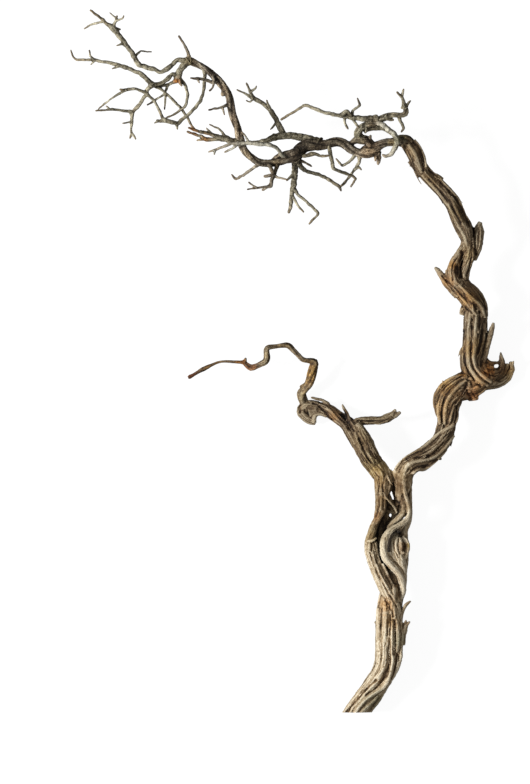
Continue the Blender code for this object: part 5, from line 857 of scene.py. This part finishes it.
def full_points(points):
    """Route points x, y, diameter with the diameters that are left out filled in."""
    known = [i for i, p in enumerate(points) if len(p) == 3]
    diameters = np.interp(range(len(points)), known, [points[i][2] for i in known])
    return np.array([(p[0], p[1], d) for p, d in zip(points, diameters)])


def height_beside(rows, x, y):
    """Height of a route at its point nearest to x, y as seen from above."""
    fine = smooth_route(rows, 0.5)
    return fine[np.argmin((fine[:, 0] - x) ** 2 + (fine[:, 1] - y) ** 2), 2]


def twig_routes():
    """Rows x, y, z, diameter of every twig, by name."""
    routes = {name: np.array(STRANDS[name], float) for name in ("knob", "broken_branch")}
    routes.update({name: np.array(rows, float) for name, rows in LIMBS.items()})
    for name, parent, rise, points in TWIGS:
        flat = full_points(points)
        steps = np.linalg.norm(np.diff(flat[:, :2], axis=0), axis=1)
        part = np.concatenate([[0.0], np.cumsum(steps)]) / steps.sum()
        height = np.interp(part, np.linspace(0, 1, len(rise)), rise)
        if parent:
            height = height + height_beside(routes[parent], *flat[0, :2])
        routes[name] = np.column_stack([flat[:, :2], height, flat[:, 2]])
    return routes


def noise(points, seed):
    """Smooth noise between 0 and 1 at rows of points, the same each run."""
    cell = np.floor(points).astype(np.int64)
    part = points - cell
    part = part * part * (3 - 2 * part)
    total = np.zeros(len(points))
    for corner in ((i, j, k) for i in (0, 1) for j in (0, 1) for k in (0, 1)):
        at = cell + np.array(corner)
        mixed = at[:, 0] * 73856093 ^ at[:, 1] * 19349663 ^ at[:, 2] * 83492791 ^ seed * 2654435761
        mixed = (mixed ^ mixed >> 13) * 1274126177
        value = (mixed >> 7 & 0xFFFF) / 0xFFFF
        weight = np.prod(np.where(corner, part, 1 - part), axis=1)
        total += weight * value
    return total


def tube_faces(rows, sides):
    """Corners and faces of a closed tube along rows x, y, z, diameter."""
    _, across, ups = frames(rows)
    angles = np.arange(sides) * 2 * math.pi / sides
    ring = np.cos(angles)[:, None, None] * across + np.sin(angles)[:, None, None] * ups
    points = rows[:, :3] + ring * rows[:, 3:4] / 2
    points = points.transpose(1, 0, 2).reshape(-1, 3)
    faces = []
    for low in range(0, (len(rows) - 1) * sides, sides):
        for i in range(sides):
            j = (i + 1) % sides
            faces.append((low + i, low + j, low + sides + j, low + sides + i))
    last = (len(rows) - 1) * sides
    faces.append(tuple(range(sides))[::-1])
    faces.append(tuple(range(last, last + sides)))
    return points, faces


def coordinates(mesh):
    """Corners of a mesh as rows, in millimetres."""
    flat = np.empty(len(mesh.vertices) * 3)
    mesh.vertices.foreach_get("co", flat)
    return flat.reshape(-1, 3) / MM


def edge_ends(mesh):
    """Corner numbers at both ends of each edge."""
    flat = np.empty(len(mesh.edges) * 2, dtype=np.int32)
    mesh.edges.foreach_get("vertices", flat)
    return flat.reshape(-1, 2).T


def relaxed(points, ends, rounds, share=0.5):
    """Corners moved towards the middle of their neighbours, several times."""
    first, second = ends
    many = len(points)
    degree = np.maximum(np.bincount(first, minlength=many) + np.bincount(second, minlength=many), 1)
    for _ in range(rounds):
        middle = np.column_stack([
            np.bincount(first, points[second, i], many) + np.bincount(second, points[first, i], many)
            for i in range(3)]) / degree[:, None]
        points = points + share * (middle - points)
    return points


def samples_of(strands):
    """Close samples of all strands, with what the grain needs at each."""
    table = []
    for number, (rows, tone) in enumerate(strands):
        fine = smooth_route(rows, 0.8)
        tangents, sides, ups = frames(fine)
        along = lengths(fine)
        table.append(np.column_stack([
            fine, along, tangents, sides, ups, np.full(len(fine), tone), np.full(len(fine), number),
            along / along[-1]]))
    return np.concatenate(table)


def nearest_strand(points, table):
    """Number of the strand sample whose surface is nearest to each point."""
    tree = KDTree(len(table))
    for i, row in enumerate(table):
        tree.insert(row[:3], i)
    tree.balance()
    radii = (table[:, WIDTH] / 2).tolist()
    chosen = np.empty(len(points), dtype=np.int64)
    for i, point in enumerate(points):
        best = math.inf
        for _, index, distance in tree.find_n(point, NEAR_SAMPLES):
            off = abs(distance - radii[index])
            if off < best:
                best = off
                chosen[i] = index
    return chosen


def distance_to(places, route):
    """Distance of each point from a line of straight stretches, both seen from above."""
    best = np.full(len(places), math.inf)
    for start, end in zip(route, route[1:]):
        stretch = end - start
        share = np.clip(((places - start) * stretch).sum(1) / (stretch * stretch).sum(), 0, 1)
        off = places - start - share[:, None] * stretch
        best = np.minimum(best, (off * off).sum(1))
    return np.sqrt(best)


def ridge_routes():
    """Ridges of the limbs as rows x, y, z, diameter, with how pale each is."""
    ridges = []
    for limb, tone, points in RIDGES.values():
        middle = smooth_route(LIMBS[limb], 0.5)
        rows = []
        for x, y, width in points:
            off = np.hypot(middle[:, 0] - x, middle[:, 1] - y)
            here = middle[np.argmin(off)]
            half = here[3] / 2
            top = math.sqrt(max(half ** 2 - min(off.min(), RIDGE_EDGE * half) ** 2, 0))
            rows.append((x, y, here[2] + RIDGE_SEAT * top + RIDGE_PROUD - width / 2, width))
        ridges.append((smooth_route(rows, 1.0), tone))
    return ridges


def splinters():
    """Slivers that lift off the limbs, as rows x, y, z, diameter, with how pale each is."""
    chance = random.Random(SPLINTER_SEED)
    slivers = []
    for limb, count in SPLINTERS.items():
        rows = smooth_route(LIMBS[limb], 0.5)
        tangents, sides, ups = frames(rows)
        for _ in range(count):
            here = chance.randrange(len(rows) // 12, len(rows) * 11 // 12)
            angle = chance.uniform(0, 2 * math.pi)
            out = math.cos(angle) * sides[here] + math.sin(angle) * ups[here]
            way = tangents[here] * chance.choice((-1, 1))
            length = chance.uniform(*SPLINTER_LENGTH)
            lift = chance.uniform(*SPLINTER_LIFT)
            sway = chance.uniform(*SPLINTER_SWAY) * np.cross(way, out)
            width = chance.uniform(*SPLINTER_WIDTH)
            foot = rows[here, :3] + out * (rows[here, 3] / 2 - 0.35)
            points = [foot - way * 1.5 - out * 0.4, foot, foot + way * length * 0.5 + out * lift * 0.35,
                      foot + way * length + out * lift + sway]
            sliver = [(*point, width * share) for point, share in zip(points, SPLINTER_TAPER)]
            if min(point[2] for point in points) > SPLINTER_CLEARANCE:
                slivers.append((smooth_route(sliver, 0.8), chance.uniform(*SPLINTER_TONE)))
    return slivers


def openness(mesh, points, normals):
    """How much of the sky above each corner is open, from 0 to 1."""
    tree = BVHTree.FromPolygons((points * MM).tolist(), [tuple(p.vertices) for p in mesh.polygons])
    seen = np.zeros(len(points))
    for x, y in SKY:
        ray = Vector((x, y, 1.0)).normalized()
        for i, (point, normal) in enumerate(zip(points, normals)):
            if normal.dot(ray) <= 0:
                continue
            start = Vector(point * MM + normal * 0.15 * MM)
            if tree.ray_cast(start, ray, SKY_REACH * MM)[0] is None:
                seen[i] += 1
    return seen / len(SKY)


def stains_and_painted_light(places):
    """Colour by which stain marks, worn places, painted shade in gaps and painted light in the burl's bowl
    change each point's wood, seen from above.
    """
    colour = np.ones((len(places), 3))
    ragged = noise(places * 0.9, 11) - 0.5 + 0.6 * (noise(places * 2.1, 12) - 0.5)
    for x, y, radius, change in STAINS_AND_PAINTED_LIGHT:
        off = np.hypot(places[:, 0] - x, places[:, 1] - y) / radius
        share = np.exp(-np.maximum(off + 0.7 * ragged, 0) ** 2)
        colour *= 1 + share[:, None] * (np.array(change) - 1)
    return colour


def fused_skin(name, strands, voxel, sides):
    """Strands fused into one object with an even outer skin."""
    points, faces = [], []
    start = 0
    for rows, _ in strands:
        more_points, more_faces = tube_faces(rows, sides)
        points.append(more_points)
        faces += [tuple(start + i for i in face) for face in more_faces]
        start += len(more_points)
    mesh = bpy.data.meshes.new(name)
    mesh.from_pydata((np.concatenate(points) * MM).tolist(), [], faces)
    obj = bpy.data.objects.new(name, mesh)
    bpy.context.scene.collection.objects.link(obj)
    change = obj.modifiers.new("skin", "REMESH")
    change.mode = "VOXEL"
    change.voxel_size = voxel * MM
    graph = bpy.context.evaluated_depsgraph_get()
    mesh = bpy.data.meshes.new_from_object(obj.evaluated_get(graph))
    obj.modifiers.clear()
    obj.data = mesh
    keep_outer_skin(obj)
    return obj


def grain_beside(points, near):
    """Place of each point in the grain of its nearest strand, and the way out of that strand."""
    offset = points - near[:, CENTRE]
    side = (offset * near[:, SIDE]).sum(1)
    up = (offset * near[:, UP]).sum(1)
    along = near[:, ALONG] + (offset * near[:, TANGENT]).sum(1)
    grain = np.column_stack([side, up, along * GRAIN_STRETCH]) + near[:, [NUMBER]] * GRAIN_SHIFT
    return grain, offset / (np.linalg.norm(offset, axis=1)[:, None] + 1e-9)


def furrows(points, grain, width, furrow_depth):
    """How far furrows, swellings and rough bark lift each point out of its strand."""
    wide = noise(grain * 0.75, 1)
    narrow = noise(grain * 1.9, 2)
    swell = noise(points * 0.35, 3) - 0.5
    groove = (1 - abs(2 * wide - 1)) ** 4 + 0.45 * (1 - abs(2 * narrow - 1)) ** 3
    rough = BARK_ROUGH * (noise(points * 1.3, 6) + 0.6 * noise(points * 3.1, 7) - 0.8)
    depth = furrow_depth * np.minimum(width / 4.5, 1.0)
    return depth * (0.9 * swell - groove + 0.25) + rough * np.minimum(width / 3.0, 1.0)


def carving(points, outward):
    """How deep the cracks and pin holes go down from each point."""
    wander = np.column_stack([noise(points * 0.8, 8), noise(points * 0.8, 9)])
    places = points[:, :2] + 0.3 * wander - 0.15
    uneven = np.clip(0.15 + 1.25 * noise(points * 0.45, 13), 0.2, 1.1)
    broad = 0.8 + 1.1 * noise(points * 0.3, 14)
    carved = np.zeros(len(points))
    for deep, half_width, route in CRACKS:
        off = distance_to(places, np.array(route)) / (1.2 * half_width) / broad
        carved = np.maximum(carved, deep * uneven * np.exp(-off ** 2))
    for x, y in PIN_HOLES:
        off = np.hypot(places[:, 0] - x, places[:, 1] - y) / PIN_HOLE_RADIUS
        carved = np.maximum(carved, PIN_HOLE_DEPTH * np.exp(-off ** 2))
    return carved * np.clip(outward[:, 2] * 2.2 - 0.2, 0, 1)


def corner_normals(mesh):
    """Directions in which the corners of a mesh face."""
    flat = np.empty(len(mesh.vertices) * 3)
    mesh.vertex_normals.foreach_get("vector", flat)
    return flat.reshape(-1, 3)


def hollowness(points, ends, normals, carved):
    """How far each corner lies below the wood around it, from 0 to 1."""
    fine = ((relaxed(points, ends, 6) - points) * normals).sum(1)
    broad = ((relaxed(points, ends, 60) - points) * normals).sum(1)
    return np.clip(0.5 + fine / 0.25 + broad / 1.6 + carved * 0.3, 0, 1)


def limb_painted_shade(mesh, points, normals, carved):
    """Painted shade: colour by which closed-in places that see little sky, and cracks, darken each corner
    of a limb.
    """
    light = np.clip(openness(mesh, points, normals) * 1.2, 0, 1) ** 1.3
    shade = NO_SKY_PAINTED_BRIGHTNESS + (1 - NO_SKY_PAINTED_BRIGHTNESS) * light
    return shade[:, None] * (1 - np.clip(carved, 0, 1)[:, None] * CRACK_PAINTED_SHADE)


def twig_mottle_and_painted_light(points, near, outward):
    """Colour by which mottling, painted light on the side towards the key light with painted shade on the
    far side, and the dark tip change each corner of a twig.
    """
    mottled = 0.6 * noise(points * 0.75, 21) + 0.4 * noise(points * 2.3, 22)
    painted_lit = np.clip(0.35 + outward @ PAINTED_LIT_SIDE, 0, 1)
    mottle_and_painted_light = (0.15 + 1.7 * mottled) * (0.4 + 0.75 * painted_lit)
    tip = np.clip((near[:, PART] - 0.6) / 0.4, 0, 1) * np.clip(2.2 - near[:, WIDTH], 0, 1)
    return mottle_and_painted_light[:, None] * (1 - np.sqrt(tip)[:, None] * TIP_STAIN)


def furrowed_skin(name, strands, skin, cracked=False):
    """Fine skin over strands, furrowed along the grain, with what its material reads."""
    voxel, furrow_depth, sides = skin
    obj = fused_skin(name, strands, voxel, sides)
    mesh = obj.data
    ends = edge_ends(mesh)
    points = relaxed(coordinates(mesh), ends, SKIN_ROUNDS)
    table = samples_of(strands)
    near = table[nearest_strand(points, table)]
    grain, outward = grain_beside(points, near)
    lift = furrows(points, grain, near[:, WIDTH], furrow_depth)
    points = points + outward * lift[:, None]
    carved = carving(points, outward) if cracked else np.zeros(len(points))
    points[:, 2] = np.maximum(points[:, 2] - carved, 0.0)
    mesh.vertices.foreach_set("co", (points * MM).ravel())
    mesh.update()

    normals = corner_normals(mesh)
    hollow = hollowness(points, ends, normals, carved)
    tint = stains_and_painted_light(points)
    if cracked:
        tint *= limb_painted_shade(mesh, points, normals, carved)
    else:
        tint *= twig_mottle_and_painted_light(points, near, outward)
    for label, values in (("hollow", hollow), ("tone", near[:, TONE])):
        mesh.attributes.new(label, "FLOAT", "POINT").data.foreach_set("value", values)
    for label, values in (("grain", grain), ("tint", tint)):
        mesh.attributes.new(label, "FLOAT_VECTOR", "POINT").data.foreach_set("vector", values.ravel())
    mesh.shade_smooth()
    return obj


def islands(mesh_build):
    """Lists of faces that hang together."""
    left = set(mesh_build.faces)
    groups = []
    while left:
        stack = [left.pop()]
        group = []
        while stack:
            face = stack.pop()
            group.append(face)
            for edge in face.edges:
                for other in edge.link_faces:
                    if other in left:
                        left.remove(other)
                        stack.append(other)
        groups.append(group)
    return groups


def keep_outer_skin(obj):
    """Only the largest of an object's islands, without the hollows left between strands."""
    mesh_build = bmesh.new()
    mesh_build.from_mesh(obj.data)
    groups = sorted(islands(mesh_build), key=len)
    small = [face for group in groups[:-1] for face in group]
    bmesh.ops.delete(mesh_build, geom=small, context="FACES")
    mesh_build.to_mesh(obj.data)
    mesh_build.free()


def saw(mesh_build, centre, direction, radius):
    """Cuts a mesh across at a point, no farther out than a radius, and closes both cut faces."""
    near = [face for face in mesh_build.faces
            if min((vert.co - centre).length_squared for vert in face.verts) < radius ** 2]
    geometry = {item for face in near for item in (face, *face.edges, *face.verts)}
    cut = bmesh.ops.bisect_plane(
        mesh_build, geom=list(geometry), dist=1e-8, plane_co=centre, plane_no=direction)
    edges = [item for item in cut["geom_cut"] if isinstance(item, bmesh.types.BMEdge)]
    bmesh.ops.split_edges(mesh_build, edges=edges)
    border = [edge for edge in mesh_build.edges if edge.is_boundary]
    bmesh.ops.holes_fill(mesh_build, edges=border, sides=0)


def cut_place(rows, along):
    """Point and direction of a route at a distance along it, and a point just past it."""
    fine = smooth_route(rows, 0.2)
    distance = lengths(fine)
    tangents, _, _ = frames(fine)
    here = int(np.argmin(abs(distance - along)))
    past = int(np.argmin(abs(distance - along - MARK_AHEAD)))
    return Vector(fine[here, :3] * MM), Vector(tangents[here]), Vector(fine[past, :3] * MM)


def saw_off_end(mesh_build):
    """Cuts the trunk's end off flat and closes the cut face."""
    geometry = mesh_build.verts[:] + mesh_build.edges[:] + mesh_build.faces[:]
    bmesh.ops.bisect_plane(
        mesh_build, geom=geometry, dist=1e-8, plane_co=(0, SAWN_END_Y * MM, 0), plane_no=(0, -1, 0),
        clear_outer=True)
    border = [edge for edge in mesh_build.edges if edge.is_boundary]
    bmesh.ops.holes_fill(mesh_build, edges=border, sides=0)


def sawn_piece(mesh_build, kept, node):
    """Object made of the faces with the kept numbers."""
    part = mesh_build.copy()
    bmesh.ops.delete(part, geom=[face for face in part.faces if face.index not in kept], context="FACES")
    bmesh.ops.triangulate(part, faces=[face for face in part.faces if len(face.verts) > 4])
    mesh = bpy.data.meshes.new(node)
    part.to_mesh(mesh)
    part.free()
    piece = bpy.data.objects.new(node + "_wood", mesh)
    bpy.context.scene.collection.objects.link(piece)
    return piece


def thick_wood(routes):
    """Trunk and limbs as one furrowed skin, parted at the forks, by node."""
    strands = []
    for name, rows in LIMBS.items():
        tone = TONES.get(name, 0.0)
        strands += [(strand, tone) for strand in winding_strands(rows, *WINDING[name])]
    strands += [(smooth_route(rows, 1.0), TONES.get(name, 0.0)) for name, rows in STRANDS.items()]
    strands += ridge_routes() + splinters()
    obj = furrowed_skin("thick_wood", strands, LIMB_SKIN, cracked=True)
    mesh_build = bmesh.new()
    mesh_build.from_mesh(obj.data)
    saw_off_end(mesh_build)
    marks = {"trunk": Vector(TRUNK_MARK) * MM}
    for node, route, along, radius in SAW_CUTS:
        if route in LIMBS or route in STRANDS:
            centre, direction, marks[node] = cut_place(routes[route], along)
            saw(mesh_build, centre, direction, radius * MM)
    groups = islands(mesh_build)
    mesh_build.faces.index_update()
    pieces = {}
    for node, mark in marks.items():
        group = min(groups, key=lambda faces: min(
            (vert.co - mark).length_squared for face in faces for vert in face.verts))
        pieces[node] = sawn_piece(mesh_build, {face.index for face in group}, node)
    bpy.data.objects.remove(obj)
    mesh_build.free()
    return pieces


def twig_strand(rows, seed):
    """A twig's route with its flared foot, its knobs and its blunt tip."""
    fine = smooth_route(rows, 0.45, roundness=0.55)
    along = lengths(fine)
    spot = np.column_stack([along, np.full(len(along), seed), np.zeros(len(along))])
    knobs = KNOB_LEAST + KNOB_CHANGE * noise(spot * (0.9, 1.7, 1.0), 4)
    flare = 1 + FOOT_FLARE * np.exp(-along / FOOT_LENGTH)
    blunt = 1 - TIP_LOSS * np.exp(-(along[-1] - along) / TIP_LENGTH)
    fine[:, 3] *= knobs * flare * blunt
    wander = np.column_stack([noise(spot * 0.6, 5 + i) - 0.5 for i in range(3)])
    ease = np.minimum(along / BEND_ONSET, 1.0)
    fine[:, :3] += wander * (BEND_SIZE * ease)[:, None]
    return fine


def thin_wood(routes):
    """Crown limb and twigs as one furrowed skin for each node."""
    sawn = {route: node for node, route, _, _ in SAW_CUTS}
    owner = {}
    groups = {}
    for seed, (name, parent, _, _) in enumerate(TWIGS):
        owner[name] = sawn[name] if name in sawn else owner[parent]
        rows = routes[name]
        tone = TONES.get(name, 0.0)
        if rows[:, 3].mean() > ROPY_DIAMETER:
            turns = lengths(rows)[-1] / ROPY_TURN
            winding = winding_strands(rows, ROPY_STRANDS, turns, ROPY_SHARE, ROPY_CORE)
            strands = [(strand, tone) for strand in winding]
        else:
            strands = [(twig_strand(rows, seed), tone)]
        groups.setdefault(owner[name], []).extend(strands)
    return {node: furrowed_skin(node + "_wood", strands, CROWN_SKIN) for node, strands in groups.items()}


def new_node(tree, kind, **values):
    """Shader node with some of its settings."""
    node = tree.nodes.new(kind)
    for key, value in values.items():
        setattr(node, key, value)
    return node


def blend_values(tree, operation, first, second):
    """Maths node on two sockets or numbers; gives its output."""
    node = new_node(tree, "ShaderNodeMath", operation=operation)
    for socket, value in zip(node.inputs, (first, second)):
        if isinstance(value, (int, float)):
            socket.default_value = value
        else:
            tree.links.new(value, socket)
    return node.outputs[0]


def noise_texture(tree, vector, scale, detail, roughness):
    """Noise texture over a vector socket; gives its grey output."""
    node = new_node(tree, "ShaderNodeTexNoise")
    node.inputs["Scale"].default_value = scale
    node.inputs["Detail"].default_value = detail
    node.inputs["Roughness"].default_value = roughness
    tree.links.new(vector, node.inputs["Vector"])
    return node.outputs["Fac"]


def wood_material(name, look):
    """Dry wood: fibres along the grain, grooves darkened by painted shade, ridges pale from wear and
    painted light, and the tint's stain marks and painted light and shade.
    """
    deep, body, bright, rough = LOOKS[look]
    material = bpy.data.materials.new(name)
    material.use_nodes = True
    tree = material.node_tree
    shader = tree.nodes["Principled BSDF"]
    read = {label: new_node(tree, "ShaderNodeAttribute", attribute_name=label)
            for label in ("grain", "hollow", "tone", "tint")}
    grain = read["grain"].outputs["Vector"]
    place = new_node(tree, "ShaderNodeTexCoord").outputs["Object"]
    sources = {"hollow": read["hollow"].outputs["Fac"], "tone": read["tone"].outputs["Fac"]}
    for label, vector in (("fibre", grain), ("thin", grain), ("blotch", place), ("speck", place)):
        sources[label] = noise_texture(tree, vector, *TEXTURES[label])

    value = 0.5
    # the hollow term darkens grooves as painted shade and lightens ridges as painted light
    for label, (middle, strength) in SHADE_MIX.items():
        off = blend_values(tree, "SUBTRACT", sources[label], middle)
        value = blend_values(tree, "ADD", blend_values(tree, "MULTIPLY", off, strength), value)

    ramp = new_node(tree, "ShaderNodeValToRGB")
    stops = ramp.color_ramp.elements
    stops[0].position, _, stops[1].position = COLOUR_STOPS
    stops[0].color = (*deep, 1)
    stops[1].color = (*bright, 1)
    stops.new(COLOUR_STOPS[1]).color = (*body, 1)
    tree.links.new(value, ramp.inputs["Fac"])
    stained_and_shaded = new_node(tree, "ShaderNodeMix", data_type="RGBA", blend_type="MULTIPLY")
    stained_and_shaded.inputs["Factor"].default_value = 1.0
    tree.links.new(ramp.outputs["Color"], stained_and_shaded.inputs["A"])
    tree.links.new(read["tint"].outputs["Vector"], stained_and_shaded.inputs["B"])
    tree.links.new(stained_and_shaded.outputs["Result"], shader.inputs["Base Color"])

    both = blend_values(tree, "ADD", sources["fibre"], sources["thin"])
    streaks = blend_values(tree, "MULTIPLY", both, 0.5)
    dull = new_node(tree, "ShaderNodeMapRange")
    dull.inputs["To Min"].default_value = rough + 0.10
    dull.inputs["To Max"].default_value = rough - 0.14
    tree.links.new(streaks, dull.inputs["Value"])
    tree.links.new(dull.outputs[0], shader.inputs["Roughness"])
    shader.inputs["Specular IOR Level"].default_value = 0.3

    relief = blend_values(tree, "ADD", streaks, blend_values(tree, "MULTIPLY", sources["speck"], 0.25))
    bump = new_node(tree, "ShaderNodeBump")
    bump.inputs["Strength"].default_value = 0.9
    bump.inputs["Distance"].default_value = 0.4 * MM
    tree.links.new(relief, bump.inputs["Height"])
    tree.links.new(bump.outputs["Normal"], shader.inputs["Normal"])
    return material


def floor():
    """Plain pale floor that the branch lies on."""
    mesh_build = bmesh.new()
    bmesh.ops.create_grid(mesh_build, x_segments=1, y_segments=1, size=FLOOR_SIZE)
    mesh = bpy.data.meshes.new("floor")
    mesh_build.to_mesh(mesh)
    mesh_build.free()
    obj = bpy.data.objects.new("floor", mesh)
    bpy.context.scene.collection.objects.link(obj)
    material = bpy.data.materials.new("floor_paint")
    material.use_nodes = True
    shader = material.node_tree.nodes["Principled BSDF"]
    shader.inputs["Base Color"].default_value = (FLOOR_COLOUR, FLOOR_COLOUR, FLOOR_COLOUR, 1)
    shader.inputs["Emission Color"].default_value = (1, 1, 1, 1)
    seen = new_node(material.node_tree, "ShaderNodeLightPath").outputs["Is Camera Ray"]
    glow = blend_values(material.node_tree, "MULTIPLY", seen, FLOOR_GLOW)
    material.node_tree.links.new(glow, shader.inputs["Emission Strength"])
    shader.inputs["Roughness"].default_value = 0.9
    shader.inputs["Specular IOR Level"].default_value = 0.1
    mesh.materials.append(material)


def area_light(name, place, size, watts):
    """Soft square light that faces the middle of the branch."""
    data = bpy.data.lights.new(name, "AREA")
    data.shape = "SQUARE"
    data.size = size
    data.energy = watts
    obj = bpy.data.objects.new(name, data)
    obj.location = place
    obj.rotation_euler = (-Vector(place)).to_track_quat("-Z", "Y").to_euler()
    bpy.context.scene.collection.objects.link(obj)


def studio():
    """Bright surroundings, a soft key light from the left and a faint fill light."""
    world = bpy.data.worlds.new("studio")
    world.use_nodes = True
    background = world.node_tree.nodes["Background"]
    background.inputs["Color"].default_value = (1, 1, 1, 1)
    background.inputs["Strength"].default_value = WORLD_LIGHT
    bpy.context.scene.world = world
    area_light("key", KEY_PLACE, KEY_SIZE, KEY_WATTS)
    area_light("fill", FILL_PLACE, FILL_SIZE, FILL_WATTS)
    view = bpy.context.scene.view_settings
    view.view_transform = "Standard"
    view.look = "None"
    view.exposure = 0.0
    view.gamma = 1.0


def camera():
    """Camera straight above, with the photo's framing."""
    data = bpy.data.cameras.new("camera")
    data.lens = LENS
    data.sensor_width = SENSOR
    distance = PHOTO_HEIGHT * MM_PER_PIXEL * MM * LENS / SENSOR
    data.clip_start = CLIP_START
    data.clip_end = CLIP_END
    obj = bpy.data.objects.new("camera", data)
    obj.location = (VIEW_CENTRE[0] * MM, VIEW_CENTRE[1] * MM, distance + FOCUS_HEIGHT * MM)
    bpy.context.scene.collection.objects.link(obj)
    bpy.context.scene.camera = obj


def main():
    """Branch in place of its solids, with its floor, lights and camera."""
    routes = twig_routes()
    pieces = thick_wood(routes)
    pieces.update(thin_wood(routes))
    materials = {look: wood_material(look + "_wood", look) for look in LOOKS}
    for node, piece in pieces.items():
        piece.data.materials.clear()
        piece.data.materials.append(materials[NODE_LOOKS.get(node, "twig")])
        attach(piece, "root")
        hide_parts(node)
    floor()
    studio()
    camera()


main()
